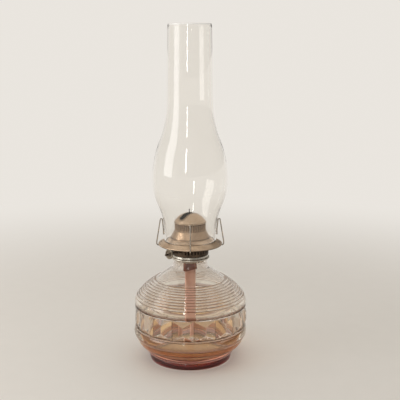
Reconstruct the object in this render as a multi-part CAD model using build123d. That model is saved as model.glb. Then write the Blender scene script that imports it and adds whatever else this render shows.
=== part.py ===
from build123d import *
import math
import os

# A kerosene table lamp: a pressed glass font, a screw-in flat wick burner and a glass chimney.
# Millimetres, +Z up, origin at the middle of the foot on the table.
# The wick's width and the raiser spindle lie along X, with the thumbwheel on the -X side.

# Font, heights of its bands from the table up
FOOT_H = 8.5
RING_H = 7.5
SILL_H = 13.5
ROLL_H = 14.0
BAND_BEAD_H = 1.6
BLOCK_H = 25.8
CROWN_H = 11.0
RIB_ZONE_H = 22.5
SHOULDER_H = 16.8
NECK_H = 14.2

# Font, radii at the top of each band, or its step in from the roll, and its swell past its chord
FOOT_R = 52.5
FOOT_SWELL = 0.9
RING_R = 57.5
RING_SWELL = 1.8
ROLL_R = 71.5
ROLL_SWELL = 2.6
SILL_STEP = 2.0
SILL_SWELL = 2.0
CROWN_STEP = 1.0
CROWN_SWELL = 2.2
RIB_TOP_R = 45.5
RIB_ZONE_SWELL = 2.0
RIB_COUNT = 9
RIB_SWELL = 0.8
NECK_R = 21.5
NECK_FILLET = 10.0

# Font, the ring of hip-roofed blocks, with its ridges and valleys measured from the roll
BLOCK_COUNT = 16
BLOCK_RIDGE = 1.7
BLOCK_VALLEY = 1.3
BLOCK_HIP_H = 7.5
BLOCK_SINK = 0.4
BLOCK_TURN = 3.75

# Font, inside and underside
GLASS_WALL = 4.6
GLASS_FLOOR = 6.5
FLOOR_R = 46.0
BOWL_SWELL = 5.0
FOOT_LAND = 8.0
FOOT_DISH = 2.5

# Collar cemented over the neck
SHEET = 0.7
CEMENT = 0.9
COLLAR_BORE_R = 16.0
COLLAR_THREAD_H = 9.0
COLLAR_SKIRT_H = 5.6
COLLAR_BEAD_R = 1.5
CEMENT_BACK = 0.8

# Burner: screw ferrule, cup with air slots, diffuser plate and vapour vent
THREAD_GAP = 0.1
FERRULE_H = 8.0
FERRULE_FLANGE_R = 21.5
CUP_R = 23.6
CUP_H = 14.0
AIR_SLOT_COUNT = 36
AIR_SLOT_W = 1.5
AIR_SLOT_H = 6.0
AIR_SLOT_RISE = 2.4
AIR_SLOT_CUT = 2.8
DIFFUSER_R = 21.8
DIFFUSER_RISE = 12.0
DIFFUSER_HOLE_R = 0.9
DIFFUSER_RING_STEP = 2.6
DIFFUSER_RINGS = 3
DIFFUSER_EDGE = 2.4
DIFFUSER_HOLE_PITCH = 4.2
VENT_R = 1.5
VENT_WALL = 0.5
VENT_X = 5.0
VENT_OFF_TUBE = 3.0
VENT_RISE = 9.0
VENT_DROP = 6.0

# Wick and its tube
WICK_W = 19.0
WICK_T = 2.8
WICK_ABOVE_TUBE = 1.8
WICK_OFF_FLOOR = 14.0
WICK_SIDE_GAP = 0.4
WICK_FACE_GAP = 0.35
WICK_CORNER_R = 0.9
TUBE_WALL = 0.45
TUBE_CORNER_R = 0.8
TUBE_DROP = 21.5
TUBE_RISE = 44.8

# Wick raiser: spindle, spur wheels, bracket, bush and thumbwheel
SPINDLE_R = 1.2
SPINDLE_RISE = 7.5
SPINDLE_TIP = 4.5
SPINDLE_CHAMFER = 0.3
SPUR_COUNT = 4
SPUR_PITCH = 4.2
SPUR_R = 4.0
SPUR_ROOT_R = 2.9
SPUR_T = 0.9
SPUR_TEETH = 10
SPUR_WICK_GAP = 0.1
SPUR_WINDOW_GAP = 0.4
BRACKET_SHEET = 0.6
BRACKET_GAP = 0.5
BRACKET_H = 6.4
EAR_INSET = 1.6
BUSH_WALL = 0.9
BUSH_OUT = 2.6
BUSH_IN = 1.8
RUN_GAP = 0.05
THUMB_R = 6.2
THUMB_T = 2.0
THUMB_HUB_R = 2.3
THUMB_HUB_T = 1.2
THUMB_NOTCHES = 24
THUMB_NOTCH_R = 0.45
THUMB_RIM_GAP = 0.6

# Gallery that carries the chimney, with its flame deflector
SLEEVE_H = 3.8
GALLERY_H = 7.2
STEP_R = 26.2
SEAT_DROP = 3.4
SEAT_MARGIN = 1.0
RIM_R = 41.0
RIM_DROP = 4.4
RIM_BEAD_R = 1.1
SKIRT_R = 25.2
SKIRT_H = 9.8
SKIRT_FLANGE = 0.8
DEFLECTOR_R = 19.9
DEFLECTOR_BAND_H = 10.4
DEFLECTOR_LIP = 0.5
DOME_H = 11.4
DEFLECTOR_SHEET = 0.6
SLOT_L = 33.0
SLOT_W = 6.4

# Chimney
CHIMNEY_R = 33.35
CHIMNEY_WALL = 2.2
CHIMNEY_FOOT_H = 13.0
CHIMNEY_FLARE_H = 64.4
CHIMNEY_BELLY_R = 47.9
CHIMNEY_TAPER_H = 102.6
CHIMNEY_WAIST_R = 28.9
CHIMNEY_STACK_H = 91.7
CHIMNEY_TOP_R = 27.1
CHIMNEY_LIP = 0.9

# Spring prongs, bent from wire, with the inside radius of each bend
PRONG_COUNT = 4
PRONG_TURN = 45.0
PRONG_WIRE_R = 0.75
PRONG_GAP = 0.28
PRONG_HOLE_GAP = 0.25
PRONG_ROOT_INSET = 3.6
PRONG_HEAD = 1.0
PRONG_RIM_GAP = 0.35
PRONG_BULGE = 2.1
PRONG_BULGE_RISE = 4.6
PRONG_TOP_RISE = 27.5
PRONG_KNEE_RISE = 14.0
PRONG_TOE_RISE = 7.0
PRONG_TOP_FLAT = 0.25
PRONG_TOP_BEND = 0.3
PRONG_FOOT_BEND = 0.65
PRONG_BULGE_BEND = 1.65
PRONG_KNEE_BEND = 11.0

# Heights that follow from the font
foot_top = FOOT_H
ring_top = foot_top + RING_H
sill_top = ring_top + SILL_H
roll_top = sill_top + ROLL_H
block_low = roll_top + BAND_BEAD_H
block_high = block_low + BLOCK_H
band_top = block_high + BAND_BEAD_H
crown_top = band_top + CROWN_H
rib_top = crown_top + RIB_ZONE_H
neck_foot = rib_top + SHOULDER_H
neck_top = neck_foot + NECK_H
font_floor = foot_top + GLASS_FLOOR

# Heights that follow from the collar and the burner
collar_plate = neck_top + CEMENT
collar_top = collar_plate + SHEET
ferrule_top = collar_top + SHEET
cup_floor = ferrule_top + SHEET
cup_top = ferrule_top + CUP_H
spindle_z = ferrule_top + SPINDLE_RISE
tube_low = ferrule_top - TUBE_DROP
tube_high = ferrule_top + TUBE_RISE
wick_low = font_floor + WICK_OFF_FLOOR
wick_high = tube_high + WICK_ABOVE_TUBE

# Heights that follow from the gallery
step_top = cup_top + GALLERY_H
seat_z = step_top - SEAT_DROP
rim_z = seat_z - RIM_DROP
skirt_foot = step_top + SKIRT_FLANGE
skirt_top = skirt_foot + SKIRT_H
dome_foot = skirt_top + DEFLECTOR_BAND_H
dome_top = dome_foot + DOME_H

# Radii that follow from the roll
sill_r = ROLL_R - SILL_STEP
crown_r = ROLL_R - CROWN_STEP
block_ridge_r = ROLL_R + BLOCK_RIDGE
block_valley_r = ROLL_R - BLOCK_VALLEY
cavity_r = block_valley_r - GLASS_WALL

# Radii and offsets that fits share
neck_bore_r = COLLAR_BORE_R + SHEET + CEMENT
collar_skirt_r = NECK_R + CEMENT
tube_in_w = WICK_W + 2 * WICK_SIDE_GAP
tube_in_t = WICK_T + 2 * WICK_FACE_GAP
tube_w = tube_in_w + 2 * TUBE_WALL
tube_t = tube_in_t + 2 * TUBE_WALL
spindle_y = -(WICK_T / 2 + SPUR_WICK_GAP + SPUR_R)
bush_r = SPINDLE_R + RUN_GAP + BUSH_WALL
cup_in_r = CUP_R - SHEET
sleeve_r = cup_in_r - RUN_GAP
sleeve_in_r = sleeve_r - SHEET
thumb_x = -(RIM_R + THUMB_RIM_GAP + THUMB_T / 2)
ear_x = tube_w / 2 - EAR_INSET
prong_root_r = RIM_R - PRONG_ROOT_INSET


def turned(outline):
    """Solid turned about Z from a closed outline of edges in (radius, height)."""
    return revolve(Plane.XZ * make_face(outline), Axis.Z)


def run(*points):
    """Straight edges through the points."""
    return Polyline(*points).edges()


def swell(start, end, rise):
    """Arc between two points whose middle stands off the chord, to the right of the way it runs."""
    out, up = end[0] - start[0], end[1] - start[1]
    chord = math.hypot(out, up)
    middle = (
        (start[0] + end[0]) / 2 + rise * up / chord,
        (start[1] + end[1]) / 2 - rise * out / chord,
    )
    return ThreePointArc(start, middle, end).edges()


def ogee(start, end):
    """Two equal arcs, upright at both ends, that carry a wall from one radius to another."""
    middle = ((start[0] + end[0]) / 2, (start[1] + end[1]) / 2)
    first = TangentArc(start, middle, tangent=(0, 1))
    return first.edges() + TangentArc(middle, end, tangent=first % 1).edges()


def upright(radius, low, high, x=0.0, y=0.0):
    """Round bar standing on Z."""
    return Pos(x, y, (low + high) / 2) * Cylinder(radius, high - low)


def across(radius, low, high, y=0.0, z=0.0):
    """Round bar lying along X."""
    return Pos((low + high) / 2, y, z) * Rot(0, 90, 0) * Cylinder(radius, high - low)


def flat_bar(width, thickness, corner, low, high):
    """Upright bar with a flat rounded section, as wide as X and as thick as Y."""
    section = Pos(0, 0, low) * RectangleRounded(width, thickness, corner)
    return extrude(section, high - low)


def shoulder_outline(rib_end, neck, top, bend):
    """Smooth shoulder from the ribs in to the upright neck."""
    return FilletPolyline(rib_end, neck, (neck[0], top), radius=bend).edges()


def block_band(low, high):
    """Ring of hip-roofed blocks as one closed faceted drum."""
    step = 2 * math.pi / BLOCK_COUNT

    def corner(radius, turn, height):
        angle = math.radians(BLOCK_TURN) + turn * step
        return Vector(radius * math.cos(angle), radius * math.sin(angle), height)

    def facet(*points):
        return Face(Wire.make_polygon(points))

    facets = []
    for i in range(BLOCK_COUNT):
        low_a, low_b = corner(block_valley_r, i, low), corner(block_valley_r, i + 1, low)
        high_a, high_b = corner(block_valley_r, i, high), corner(block_valley_r, i + 1, high)
        ridge_low = corner(block_ridge_r, i + 0.5, low + BLOCK_HIP_H)
        ridge_high = corner(block_ridge_r, i + 0.5, high - BLOCK_HIP_H)
        facets += [
            facet(low_a, low_b, ridge_low),
            facet(high_a, high_b, ridge_high),
            facet(low_a, high_a, ridge_high, ridge_low),
            facet(low_b, high_b, ridge_high, ridge_low),
        ]
    for height in (low, high):
        facets.append(facet(*[corner(block_valley_r, i, height) for i in range(BLOCK_COUNT)]))
    return Solid(Shell(facets))


def font_glass():
    """Pressed glass font: foot, rolls, block band, ribbed shoulder and neck, hollow inside."""
    core_r = block_valley_r * math.cos(math.pi / BLOCK_COUNT) - BLOCK_SINK
    rib_zone = swell((crown_r, crown_top), (RIB_TOP_R, rib_top), RIB_ZONE_SWELL)[0]
    rib_ends = [(rib_zone @ (i / RIB_COUNT)) for i in range(RIB_COUNT + 1)]
    rib_ends = [(end.X, end.Y) for end in rib_ends]
    outline = run((0, neck_top), (0, FOOT_DISH), (FOOT_R - FOOT_LAND, 0), (FOOT_R, 0))
    outline += swell((FOOT_R, 0), (FOOT_R, foot_top), FOOT_SWELL)
    outline += swell((FOOT_R, foot_top), (RING_R, ring_top), RING_SWELL)
    outline += swell((RING_R, ring_top), (sill_r, sill_top), SILL_SWELL)
    outline += swell((sill_r, sill_top), (ROLL_R, roll_top), ROLL_SWELL)
    outline += swell((ROLL_R, roll_top), (ROLL_R, block_low), BAND_BEAD_H / 2)
    outline += run((ROLL_R, block_low), (core_r, block_low), (core_r, block_high), (ROLL_R, block_high))
    outline += swell((ROLL_R, block_high), (ROLL_R, band_top), BAND_BEAD_H / 2)
    outline += run((ROLL_R, band_top), (crown_r, band_top))
    outline += swell((crown_r, band_top), (crown_r, crown_top), CROWN_SWELL)
    for start, end in zip(rib_ends, rib_ends[1:]):
        outline += swell(start, end, RIB_SWELL)
    outline += shoulder_outline((RIB_TOP_R, rib_top), (NECK_R, neck_foot), neck_top, NECK_FILLET)
    outline += run((NECK_R, neck_top), (0, neck_top))
    body = turned(outline) + block_band(block_low - BLOCK_SINK, block_high + BLOCK_SINK)
    return body - font_cavity()


def font_cavity():
    """Space for the oil, one wall inside the outer form, open through the neck."""
    slope = math.atan2(SHOULDER_H, RIB_TOP_R - NECK_R)
    rib_r = RIB_TOP_R - GLASS_WALL * math.sin(slope)
    rib_z = rib_top - GLASS_WALL * math.cos(slope)
    neck_z = rib_z + (rib_r - neck_bore_r) * math.tan(slope)
    wall_top = crown_top - GLASS_WALL
    open_top = neck_top + CEMENT
    outline = run((0, open_top), (0, font_floor), (FLOOR_R, font_floor))
    outline += swell((FLOOR_R, font_floor), (cavity_r, roll_top), BOWL_SWELL)
    outline += run((cavity_r, roll_top), (cavity_r, wall_top))
    outline += swell((cavity_r, wall_top), (rib_r, rib_z), RIB_ZONE_SWELL)
    outline += shoulder_outline((rib_r, rib_z), (neck_bore_r, neck_z), open_top, NECK_FILLET)
    outline += run((neck_bore_r, open_top), (0, open_top))
    return turned(outline)


def neck_collar():
    """Pressed brass collar: plate, thread sleeve inside the neck and beaded skirt outside it."""
    bore, skirt = COLLAR_BORE_R, collar_skirt_r
    skirt_low = collar_top - COLLAR_SKIRT_H
    bead_top = skirt_low + 2 * COLLAR_BEAD_R
    outline = run(
        (skirt + SHEET, bead_top),
        (skirt + SHEET, collar_top),
        (bore, collar_top),
        (bore, collar_top - COLLAR_THREAD_H),
        (bore + SHEET, collar_top - COLLAR_THREAD_H),
        (bore + SHEET, collar_plate),
        (skirt, collar_plate),
        (skirt, skirt_low),
        (skirt + SHEET, skirt_low),
    )
    outline += swell((skirt + SHEET, skirt_low), (skirt + SHEET, bead_top), COLLAR_BEAD_R)
    return turned(outline)


def collar_cement():
    """Plaster that fills the collar round the top of the neck."""
    inner, outer = COLLAR_BORE_R + SHEET, collar_skirt_r
    inner_low = collar_top - COLLAR_THREAD_H + CEMENT_BACK
    outer_low = collar_top - COLLAR_SKIRT_H + CEMENT_BACK
    return turned(run(
        (inner, inner_low),
        (neck_bore_r, inner_low),
        (neck_bore_r, neck_top),
        (NECK_R, neck_top),
        (NECK_R, outer_low),
        (outer, outer_low),
        (outer, collar_plate),
        (inner, collar_plate),
        (inner, inner_low),
    ))


def thread_ferrule():
    """Flanged sleeve of the burner that screws into the collar."""
    outer = COLLAR_BORE_R - THREAD_GAP
    inner = outer - SHEET
    low = collar_top - FERRULE_H
    return turned(run(
        (inner, low),
        (outer, low),
        (outer, collar_top),
        (FERRULE_FLANGE_R, collar_top),
        (FERRULE_FLANGE_R, ferrule_top),
        (inner, ferrule_top),
        (inner, low),
    ))


def vent_place():
    """Where the vapour vent stands beside the wick tube."""
    return VENT_X, tube_t / 2 + VENT_OFF_TUBE + VENT_R


def burner_cup():
    """Cup under the gallery, with air slots round its wall and holes for tube, vent and bush."""
    cup = upright(CUP_R, ferrule_top, cup_top) - upright(cup_in_r, cup_floor, cup_top)
    vent_x, vent_y = vent_place()
    cup -= flat_bar(tube_w, tube_t, TUBE_CORNER_R, ferrule_top, cup_floor)
    cup -= upright(VENT_R, ferrule_top, cup_floor, vent_x, vent_y)
    cup -= across(bush_r, -CUP_R - BUSH_OUT, 0, spindle_y, spindle_z)
    slot_z = cup_floor + AIR_SLOT_RISE + AIR_SLOT_H / 2
    slot = Pos(cup_in_r, 0, slot_z) * Box(AIR_SLOT_CUT, AIR_SLOT_W, AIR_SLOT_H)
    bush_turn = 180 - math.degrees(math.asin(spindle_y / CUP_R))
    clear_turn = math.degrees((bush_r + AIR_SLOT_W) / CUP_R)
    turns = [360 * i / AIR_SLOT_COUNT for i in range(AIR_SLOT_COUNT)]
    return cup - [Rot(0, 0, turn) * slot for turn in turns if abs(turn - bush_turn) > clear_turn]


def air_diffuser():
    """Perforated plate round the wick tube that spreads the draught."""
    low = ferrule_top + DIFFUSER_RISE
    plate = upright(DIFFUSER_R, low, low + SHEET)
    plate -= flat_bar(tube_w, tube_t, TUBE_CORNER_R, low, low + SHEET)
    holes = []
    for ring in range(DIFFUSER_RINGS):
        radius = DIFFUSER_R - DIFFUSER_EDGE - ring * DIFFUSER_RING_STEP
        count = round(2 * math.pi * radius / DIFFUSER_HOLE_PITCH)
        hole = upright(DIFFUSER_HOLE_R, low, low + SHEET, radius)
        holes += [Rot(0, 0, 360 * i / count) * hole for i in range(count)]
    return plate - holes


def wick_tube():
    """Flat tube that guides the wick, with a window for each spur wheel."""
    tube = flat_bar(tube_w, tube_t, TUBE_CORNER_R, tube_low, tube_high)
    tube -= flat_bar(tube_in_w, tube_in_t, TUBE_CORNER_R, tube_low, tube_high)
    reach = -spindle_y - tube_t / 2
    window_h = 2 * (math.sqrt(SPUR_R ** 2 - reach ** 2) + SPUR_WINDOW_GAP)
    window = Box(SPUR_T + 2 * SPUR_WINDOW_GAP, tube_t, window_h)
    return tube - [Pos(x, -tube_t / 2, spindle_z) * window for x in spur_places()]


def vapour_vent():
    """Small tube that lets oil vapour out of the font into the burner."""
    vent_x, vent_y = vent_place()
    low, high = ferrule_top - VENT_DROP, ferrule_top + VENT_RISE
    outside = upright(VENT_R, low, high, vent_x, vent_y)
    return outside - upright(VENT_R - VENT_WALL, low, high, vent_x, vent_y)


def spur_places():
    """Middles of the spur wheels along the spindle."""
    return [(i - (SPUR_COUNT - 1) / 2) * SPUR_PITCH for i in range(SPUR_COUNT)]


def raiser_bracket():
    """Bent bracket on the wick tube, with an ear at each end that carries the spindle."""
    face, back = -tube_t / 2, spindle_y - SPUR_R - BRACKET_GAP
    depth = face - back + BRACKET_SHEET
    middle_y = face - depth / 2
    plate = Box(2 * ear_x + BRACKET_SHEET, BRACKET_SHEET, BRACKET_H)
    ear = Box(BRACKET_SHEET, depth, BRACKET_H)
    bracket = Pos(0, back - BRACKET_SHEET / 2, spindle_z) * plate
    bracket += [Pos(side * ear_x, middle_y, spindle_z) * ear for side in (-1, 1)]
    return bracket - across(SPINDLE_R + RUN_GAP, -tube_w, tube_w, spindle_y, spindle_z)


def spindle_bush():
    """Bush that carries the spindle through the cup's wall."""
    wall_x = -math.sqrt(CUP_R ** 2 - spindle_y ** 2)
    low, high = wall_x - BUSH_OUT, wall_x + SHEET + BUSH_IN
    outside = across(bush_r, low, high, spindle_y, spindle_z)
    return outside - across(SPINDLE_R + RUN_GAP, low, high, spindle_y, spindle_z)


def raiser_spindle():
    """Spindle from the far ear of the bracket out through the thumbwheel."""
    low = thumb_x - THUMB_T / 2 - THUMB_HUB_T - SPINDLE_TIP
    high = ear_x + BRACKET_SHEET + BRACKET_GAP
    spindle = across(SPINDLE_R, low, high, spindle_y, spindle_z)
    return chamfer(spindle.edges().filter_by(GeomType.CIRCLE), SPINDLE_CHAMFER)


def spur_wheel(x):
    """Toothed wheel that walks the wick up and down."""
    points = []
    for i in range(2 * SPUR_TEETH):
        radius = SPUR_ROOT_R if i % 2 else SPUR_R
        angle = math.pi * i / SPUR_TEETH
        points.append((radius * math.cos(angle), radius * math.sin(angle)))
    star = make_face(Polyline(*points, close=True)) - Circle(SPINDLE_R)
    wheel = extrude(Plane.YZ * star, SPUR_T)
    return Pos(x - SPUR_T / 2, spindle_y, spindle_z) * wheel


def thumbwheel():
    """Milled wheel with a hub on each side, at the outer end of the spindle."""
    disc = Circle(THUMB_R)
    disc -= PolarLocations(THUMB_R, THUMB_NOTCHES) * Circle(THUMB_NOTCH_R)
    wheel = extrude(Plane.YZ * disc, THUMB_T / 2, both=True)
    hub_reach = THUMB_T / 2 + THUMB_HUB_T
    wheel += across(THUMB_HUB_R, -hub_reach, hub_reach)
    wheel -= across(SPINDLE_R, -hub_reach, hub_reach)
    return Pos(thumb_x, spindle_y, spindle_z) * wheel


def wick():
    """Flat cotton wick, hanging straight from its tube into the oil."""
    return flat_bar(WICK_W, WICK_T, WICK_CORNER_R, wick_low, wick_high)


def gallery_ring():
    """Pressed ring that plugs into the cup and carries chimney, deflector and prongs on its brim."""
    sleeve_low = cup_top - SLEEVE_H
    seat_in = CHIMNEY_R - CHIMNEY_WALL - SEAT_MARGIN
    seat_out = CHIMNEY_R + SEAT_MARGIN
    bead_r = RIM_R - RIM_BEAD_R
    ring = turned(run(
        (sleeve_in_r, sleeve_low),
        (sleeve_r, sleeve_low),
        (sleeve_r, cup_top),
        (CUP_R, cup_top),
        (CUP_R, step_top - SHEET),
        (STEP_R, step_top - SHEET),
        (seat_in, seat_z - SHEET),
        (seat_out, seat_z - SHEET),
        (bead_r, rim_z - SHEET),
        (bead_r, rim_z),
        (seat_out, seat_z),
        (seat_in, seat_z),
        (STEP_R, step_top),
        (sleeve_in_r, step_top),
        (sleeve_in_r, sleeve_low),
    ))
    ring += Pos(0, 0, rim_z - SHEET / 2) * Torus(bead_r, RIM_BEAD_R)
    hole = upright(PRONG_WIRE_R + PRONG_HOLE_GAP, rim_z - RIM_DROP, seat_z, prong_root_r)
    return ring - [Rot(0, 0, turn) * hole for turn in prong_turns()]


def flame_deflector():
    """Skirt, upright band and slotted dome that guide air to the flame."""
    sheet = DEFLECTOR_SHEET
    outline = run(
        (0, step_top),
        (STEP_R, step_top),
        (STEP_R, skirt_foot),
        (SKIRT_R, skirt_foot),
        (DEFLECTOR_R + DEFLECTOR_LIP, skirt_top - DEFLECTOR_LIP),
        (DEFLECTOR_R, skirt_top),
        (DEFLECTOR_R, dome_foot - DEFLECTOR_LIP),
        (DEFLECTOR_R + DEFLECTOR_LIP, dome_foot),
    )
    outline += dome_arc(DEFLECTOR_R + DEFLECTOR_LIP, dome_top)
    outline += run((0, dome_top), (0, step_top))
    inside = run(
        (0, step_top),
        (SKIRT_R - sheet, step_top),
        (SKIRT_R - sheet, skirt_foot),
        (DEFLECTOR_R - sheet, skirt_top),
        (DEFLECTOR_R - sheet, dome_foot),
    )
    inside += dome_arc(DEFLECTOR_R - sheet, dome_top - sheet)
    inside += run((0, dome_top - sheet), (0, step_top))
    slot = extrude(Pos(0, 0, dome_foot) * SlotOverall(SLOT_L, SLOT_W), DOME_H)
    return turned(outline) - turned(inside) - slot


def dome_arc(foot_r, top):
    """Round cap from the dome's foot up to its top on the axis."""
    rise = top - dome_foot
    ball_r = (foot_r ** 2 + rise ** 2) / (2 * rise)
    tilt = math.asin(foot_r / ball_r) / 2
    middle = (ball_r * math.sin(tilt), top - ball_r + ball_r * math.cos(tilt))
    return ThreePointArc((foot_r, dome_foot), middle, (0, top)).edges()


def chimney_wall(inset, low, high):
    """Outline of the chimney's wall, drawn in by an inset, from the seat to the top."""
    foot_top_z = low + CHIMNEY_FOOT_H
    belly_z = foot_top_z + CHIMNEY_FLARE_H
    waist_z = belly_z + CHIMNEY_TAPER_H
    foot_end = (CHIMNEY_R - inset, foot_top_z)
    belly = (CHIMNEY_BELLY_R - inset, belly_z)
    waist = (CHIMNEY_WAIST_R - inset, waist_z)
    wall = run((CHIMNEY_R - inset, low), foot_end)
    wall += ogee(foot_end, belly)
    wall += ogee(belly, waist)
    return wall + run(waist, (CHIMNEY_TOP_R - inset, high))


def chimney_glass():
    """Blown chimney: straight foot, belly and a long stack with a fire-polished lip."""
    low = seat_z
    high = low + CHIMNEY_FOOT_H + CHIMNEY_FLARE_H + CHIMNEY_TAPER_H + CHIMNEY_STACK_H
    outline = chimney_wall(0, low, high) + chimney_wall(CHIMNEY_WALL, low, high)
    outline += run((CHIMNEY_R - CHIMNEY_WALL, low), (CHIMNEY_R, low))
    outline += run((CHIMNEY_TOP_R - CHIMNEY_WALL, high), (CHIMNEY_TOP_R, high))
    glass = turned(outline)
    lip = glass.edges().filter_by(GeomType.CIRCLE).group_by(Axis.Z)[-1]
    return fillet(lip, CHIMNEY_LIP)


def flare_radius(height):
    """Outer radius of the chimney on the lower half of its flare."""
    half_h, half_r = CHIMNEY_FLARE_H / 2, (CHIMNEY_BELLY_R - CHIMNEY_R) / 2
    arc_r = (half_h ** 2 + half_r ** 2) / (2 * half_r)
    rise = max(0.0, height - CHIMNEY_FOOT_H)
    return CHIMNEY_R + arc_r - math.sqrt(arc_r ** 2 - rise ** 2)


def prong_turns():
    """Directions of the prongs about the axis."""
    return [PRONG_TURN + 360 * i / PRONG_COUNT for i in range(PRONG_COUNT)]


def prong(turn):
    """Wire hairpin: hooked under the rim, bowed out, then back down along the chimney's foot."""
    clear = PRONG_GAP + PRONG_WIRE_R
    under_z = rim_z - SHEET / 2 - RIM_BEAD_R - PRONG_RIM_GAP - PRONG_WIRE_R
    bulge_r = RIM_R + PRONG_BULGE
    bulge_z = under_z + PRONG_BULGE_RISE
    top_z = seat_z + PRONG_TOP_RISE
    top_bend = PRONG_WIRE_R + PRONG_TOP_BEND
    inner_r = flare_radius(PRONG_TOP_RISE) + clear
    leg_r = CHIMNEY_R + clear
    brim_fall = RIM_DROP * (prong_root_r - CHIMNEY_R) / (RIM_R - CHIMNEY_R)
    route = [
        (prong_root_r, seat_z - brim_fall + PRONG_HEAD),
        (prong_root_r, under_z),
        (bulge_r, under_z),
        (bulge_r, bulge_z),
        (inner_r + 2 * top_bend + PRONG_TOP_FLAT, top_z),
        (inner_r, top_z),
        (leg_r, seat_z + PRONG_KNEE_RISE),
        (leg_r, seat_z + PRONG_TOE_RISE),
    ]
    insides = [PRONG_FOOT_BEND, PRONG_BULGE_BEND, PRONG_KNEE_BEND]
    insides += [PRONG_TOP_BEND, PRONG_TOP_BEND, PRONG_KNEE_BEND]
    bends = [PRONG_WIRE_R + inside for inside in insides]
    path = FilletPolyline(*[(r, 0, z) for r, z in route], radius=bends)
    section = Plane(path @ 0, z_dir=path % 0) * Circle(PRONG_WIRE_R)
    return Rot(0, 0, turn) * sweep(section, path)


nodes = {
    "font_glass": font_glass(),
    "neck_collar": neck_collar(),
    "collar_cement": collar_cement(),
    "thread_ferrule": thread_ferrule(),
    "burner_cup": burner_cup(),
    "air_diffuser": air_diffuser(),
    "wick_tube": wick_tube(),
    "vapour_vent": vapour_vent(),
    "raiser_bracket": raiser_bracket(),
    "spindle_bush": spindle_bush(),
    "raiser_spindle": raiser_spindle(),
    "thumbwheel": thumbwheel(),
    "wick": wick(),
    "gallery_ring": gallery_ring(),
    "flame_deflector": flame_deflector(),
    "chimney_glass": chimney_glass(),
}
for number, place in enumerate(spur_places(), start=1):
    nodes[f"spur_wheel_{number}"] = spur_wheel(place)
for number, turn in enumerate(prong_turns(), start=1):
    nodes[f"prong_{number}"] = prong(turn)

os.makedirs("parts", exist_ok=True)
for name, solid in nodes.items():
    export_step(solid, f"parts/{name}.step")
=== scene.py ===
import math
from collections import namedtuple

import bmesh
import bpy
from bpy.props import FloatProperty, FloatVectorProperty, IntProperty, PointerProperty
from bpy.types import Operator, Panel, PropertyGroup
from mathutils import Matrix, Vector, noise


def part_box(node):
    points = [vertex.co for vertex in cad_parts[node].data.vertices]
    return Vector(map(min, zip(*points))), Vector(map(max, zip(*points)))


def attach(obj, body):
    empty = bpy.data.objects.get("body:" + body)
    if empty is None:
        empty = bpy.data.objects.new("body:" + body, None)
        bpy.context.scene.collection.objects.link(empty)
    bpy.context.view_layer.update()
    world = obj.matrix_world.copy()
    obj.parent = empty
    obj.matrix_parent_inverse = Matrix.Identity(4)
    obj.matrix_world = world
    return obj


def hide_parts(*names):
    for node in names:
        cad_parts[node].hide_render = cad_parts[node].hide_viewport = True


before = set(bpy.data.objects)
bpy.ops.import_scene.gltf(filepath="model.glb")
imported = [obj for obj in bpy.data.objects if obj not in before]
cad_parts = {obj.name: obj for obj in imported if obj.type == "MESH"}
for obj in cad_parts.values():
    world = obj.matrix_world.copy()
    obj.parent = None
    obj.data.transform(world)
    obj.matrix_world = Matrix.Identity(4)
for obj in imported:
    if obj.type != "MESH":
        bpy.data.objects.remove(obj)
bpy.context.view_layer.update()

# A kerosene table lamp: pressed glass font, flat wick burner and blown chimney, in metres.
# Turned outlines are lists of (radius, height). The wick's width lies along X.

bl_info = {
    "name": "Kerosene table lamp",
    "version": (1, 0, 0),
    "blender": (4, 5, 0),
    "location": "View3D > Sidebar > Lamp",
    "description": "Glass, brass and cotton for the solids of a table lamp",
    "category": "Object",
}

MM = 0.001

# Steps round the axis, kept to multiples of the sectors, blocks, flutes and notches that they carry
SECTORS = 8
BLOCK_STEPS = 16
CHIMNEY_STEPS = 192
METAL_STEPS = 192
FLUTE_STEPS = 8
NOTCH_STEPS = 8
STRAND_STEPS = 8

# Points on each stretch of a turned outline, and the distance within which two points are one
ARC_POINTS = 10
RIB_POINTS = 6
LONG_ARC_POINTS = 34
DOME_POINTS = 26
BAND_POINTS = 12
SKIRT_POINTS = 8
FLOOR_POINTS = 6
SHOULDER_ROWS = 24
FIT = 0.01 * MM

# Font: how far its rolls and ribs swell, and the small forms between them
FONT_SWELLS = {"foot": 0.9 * MM, "ring": 2.0 * MM, "sill": 2.6 * MM, "roll": 2.8 * MM, "crown": 2.2 * MM}
RIB_ZONE_SWELL = 2.0 * MM
RIB_SWELL = 0.8 * MM
BOWL_SWELL = 5.0 * MM
CROWN_GROOVE = 1.4 * MM
CROWN_UNDERCUT = 0.9 * MM
NECK_FILLET = 10.0 * MM
FOOT_LAND = 8.0 * MM
FOOT_DISH = 2.5 * MM
LIP_ROUND = 1.0 * MM
BLOCK_SHARP = math.radians(9)

# Font: painted shade low on each roll: how high it is full, and how high it ends, as shares of the roll's
# height
RING_SHADE = (0.55, 0.80)
SILL_SHADE = (0.30, 0.50)
ROLL_SHADE = (0.34, 0.66)
ROLL_GAP = 0.02

# Font: the seam under the crown, painted as shadow; painted highlights on edges; painted shade in grooves;
# painted light and shade on the block facets; and how the skin takes the tint
SEAM = 2.4 * MM
SEAM_SHADE = 0.55
FOOT_CLEAR = 0.85
TINT_CLOUDS = 22.0
TINT_DRIFT = 0.004
FACET_SIDE = 0.75
FACET_LIGHT = 0.7
FACET_SHADE = 0.6
EDGE_CREASE = (0.03, 0.12)
EDGE_HIGHLIGHT = 0.85
GROOVE_CREASE = (-0.015, -0.06)
SKIN_SLOPE = 5

# Glass: its film of dust, how it lets lamps through, and how clear the chimney's lip is
FILM_SCALE = 90.0
FILM_SPAN = (0.45, 0.8)
GLASS_LIFT = 0.6
GLASS_BOUNCES = 24
LIP_CLEAR = 0.35

# Where most values of a noise lie, and how little a turned mark changes round the axis
NOISE_SPAN = (0.3, 0.7)
TURN_SQUEEZE = 0.002

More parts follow.
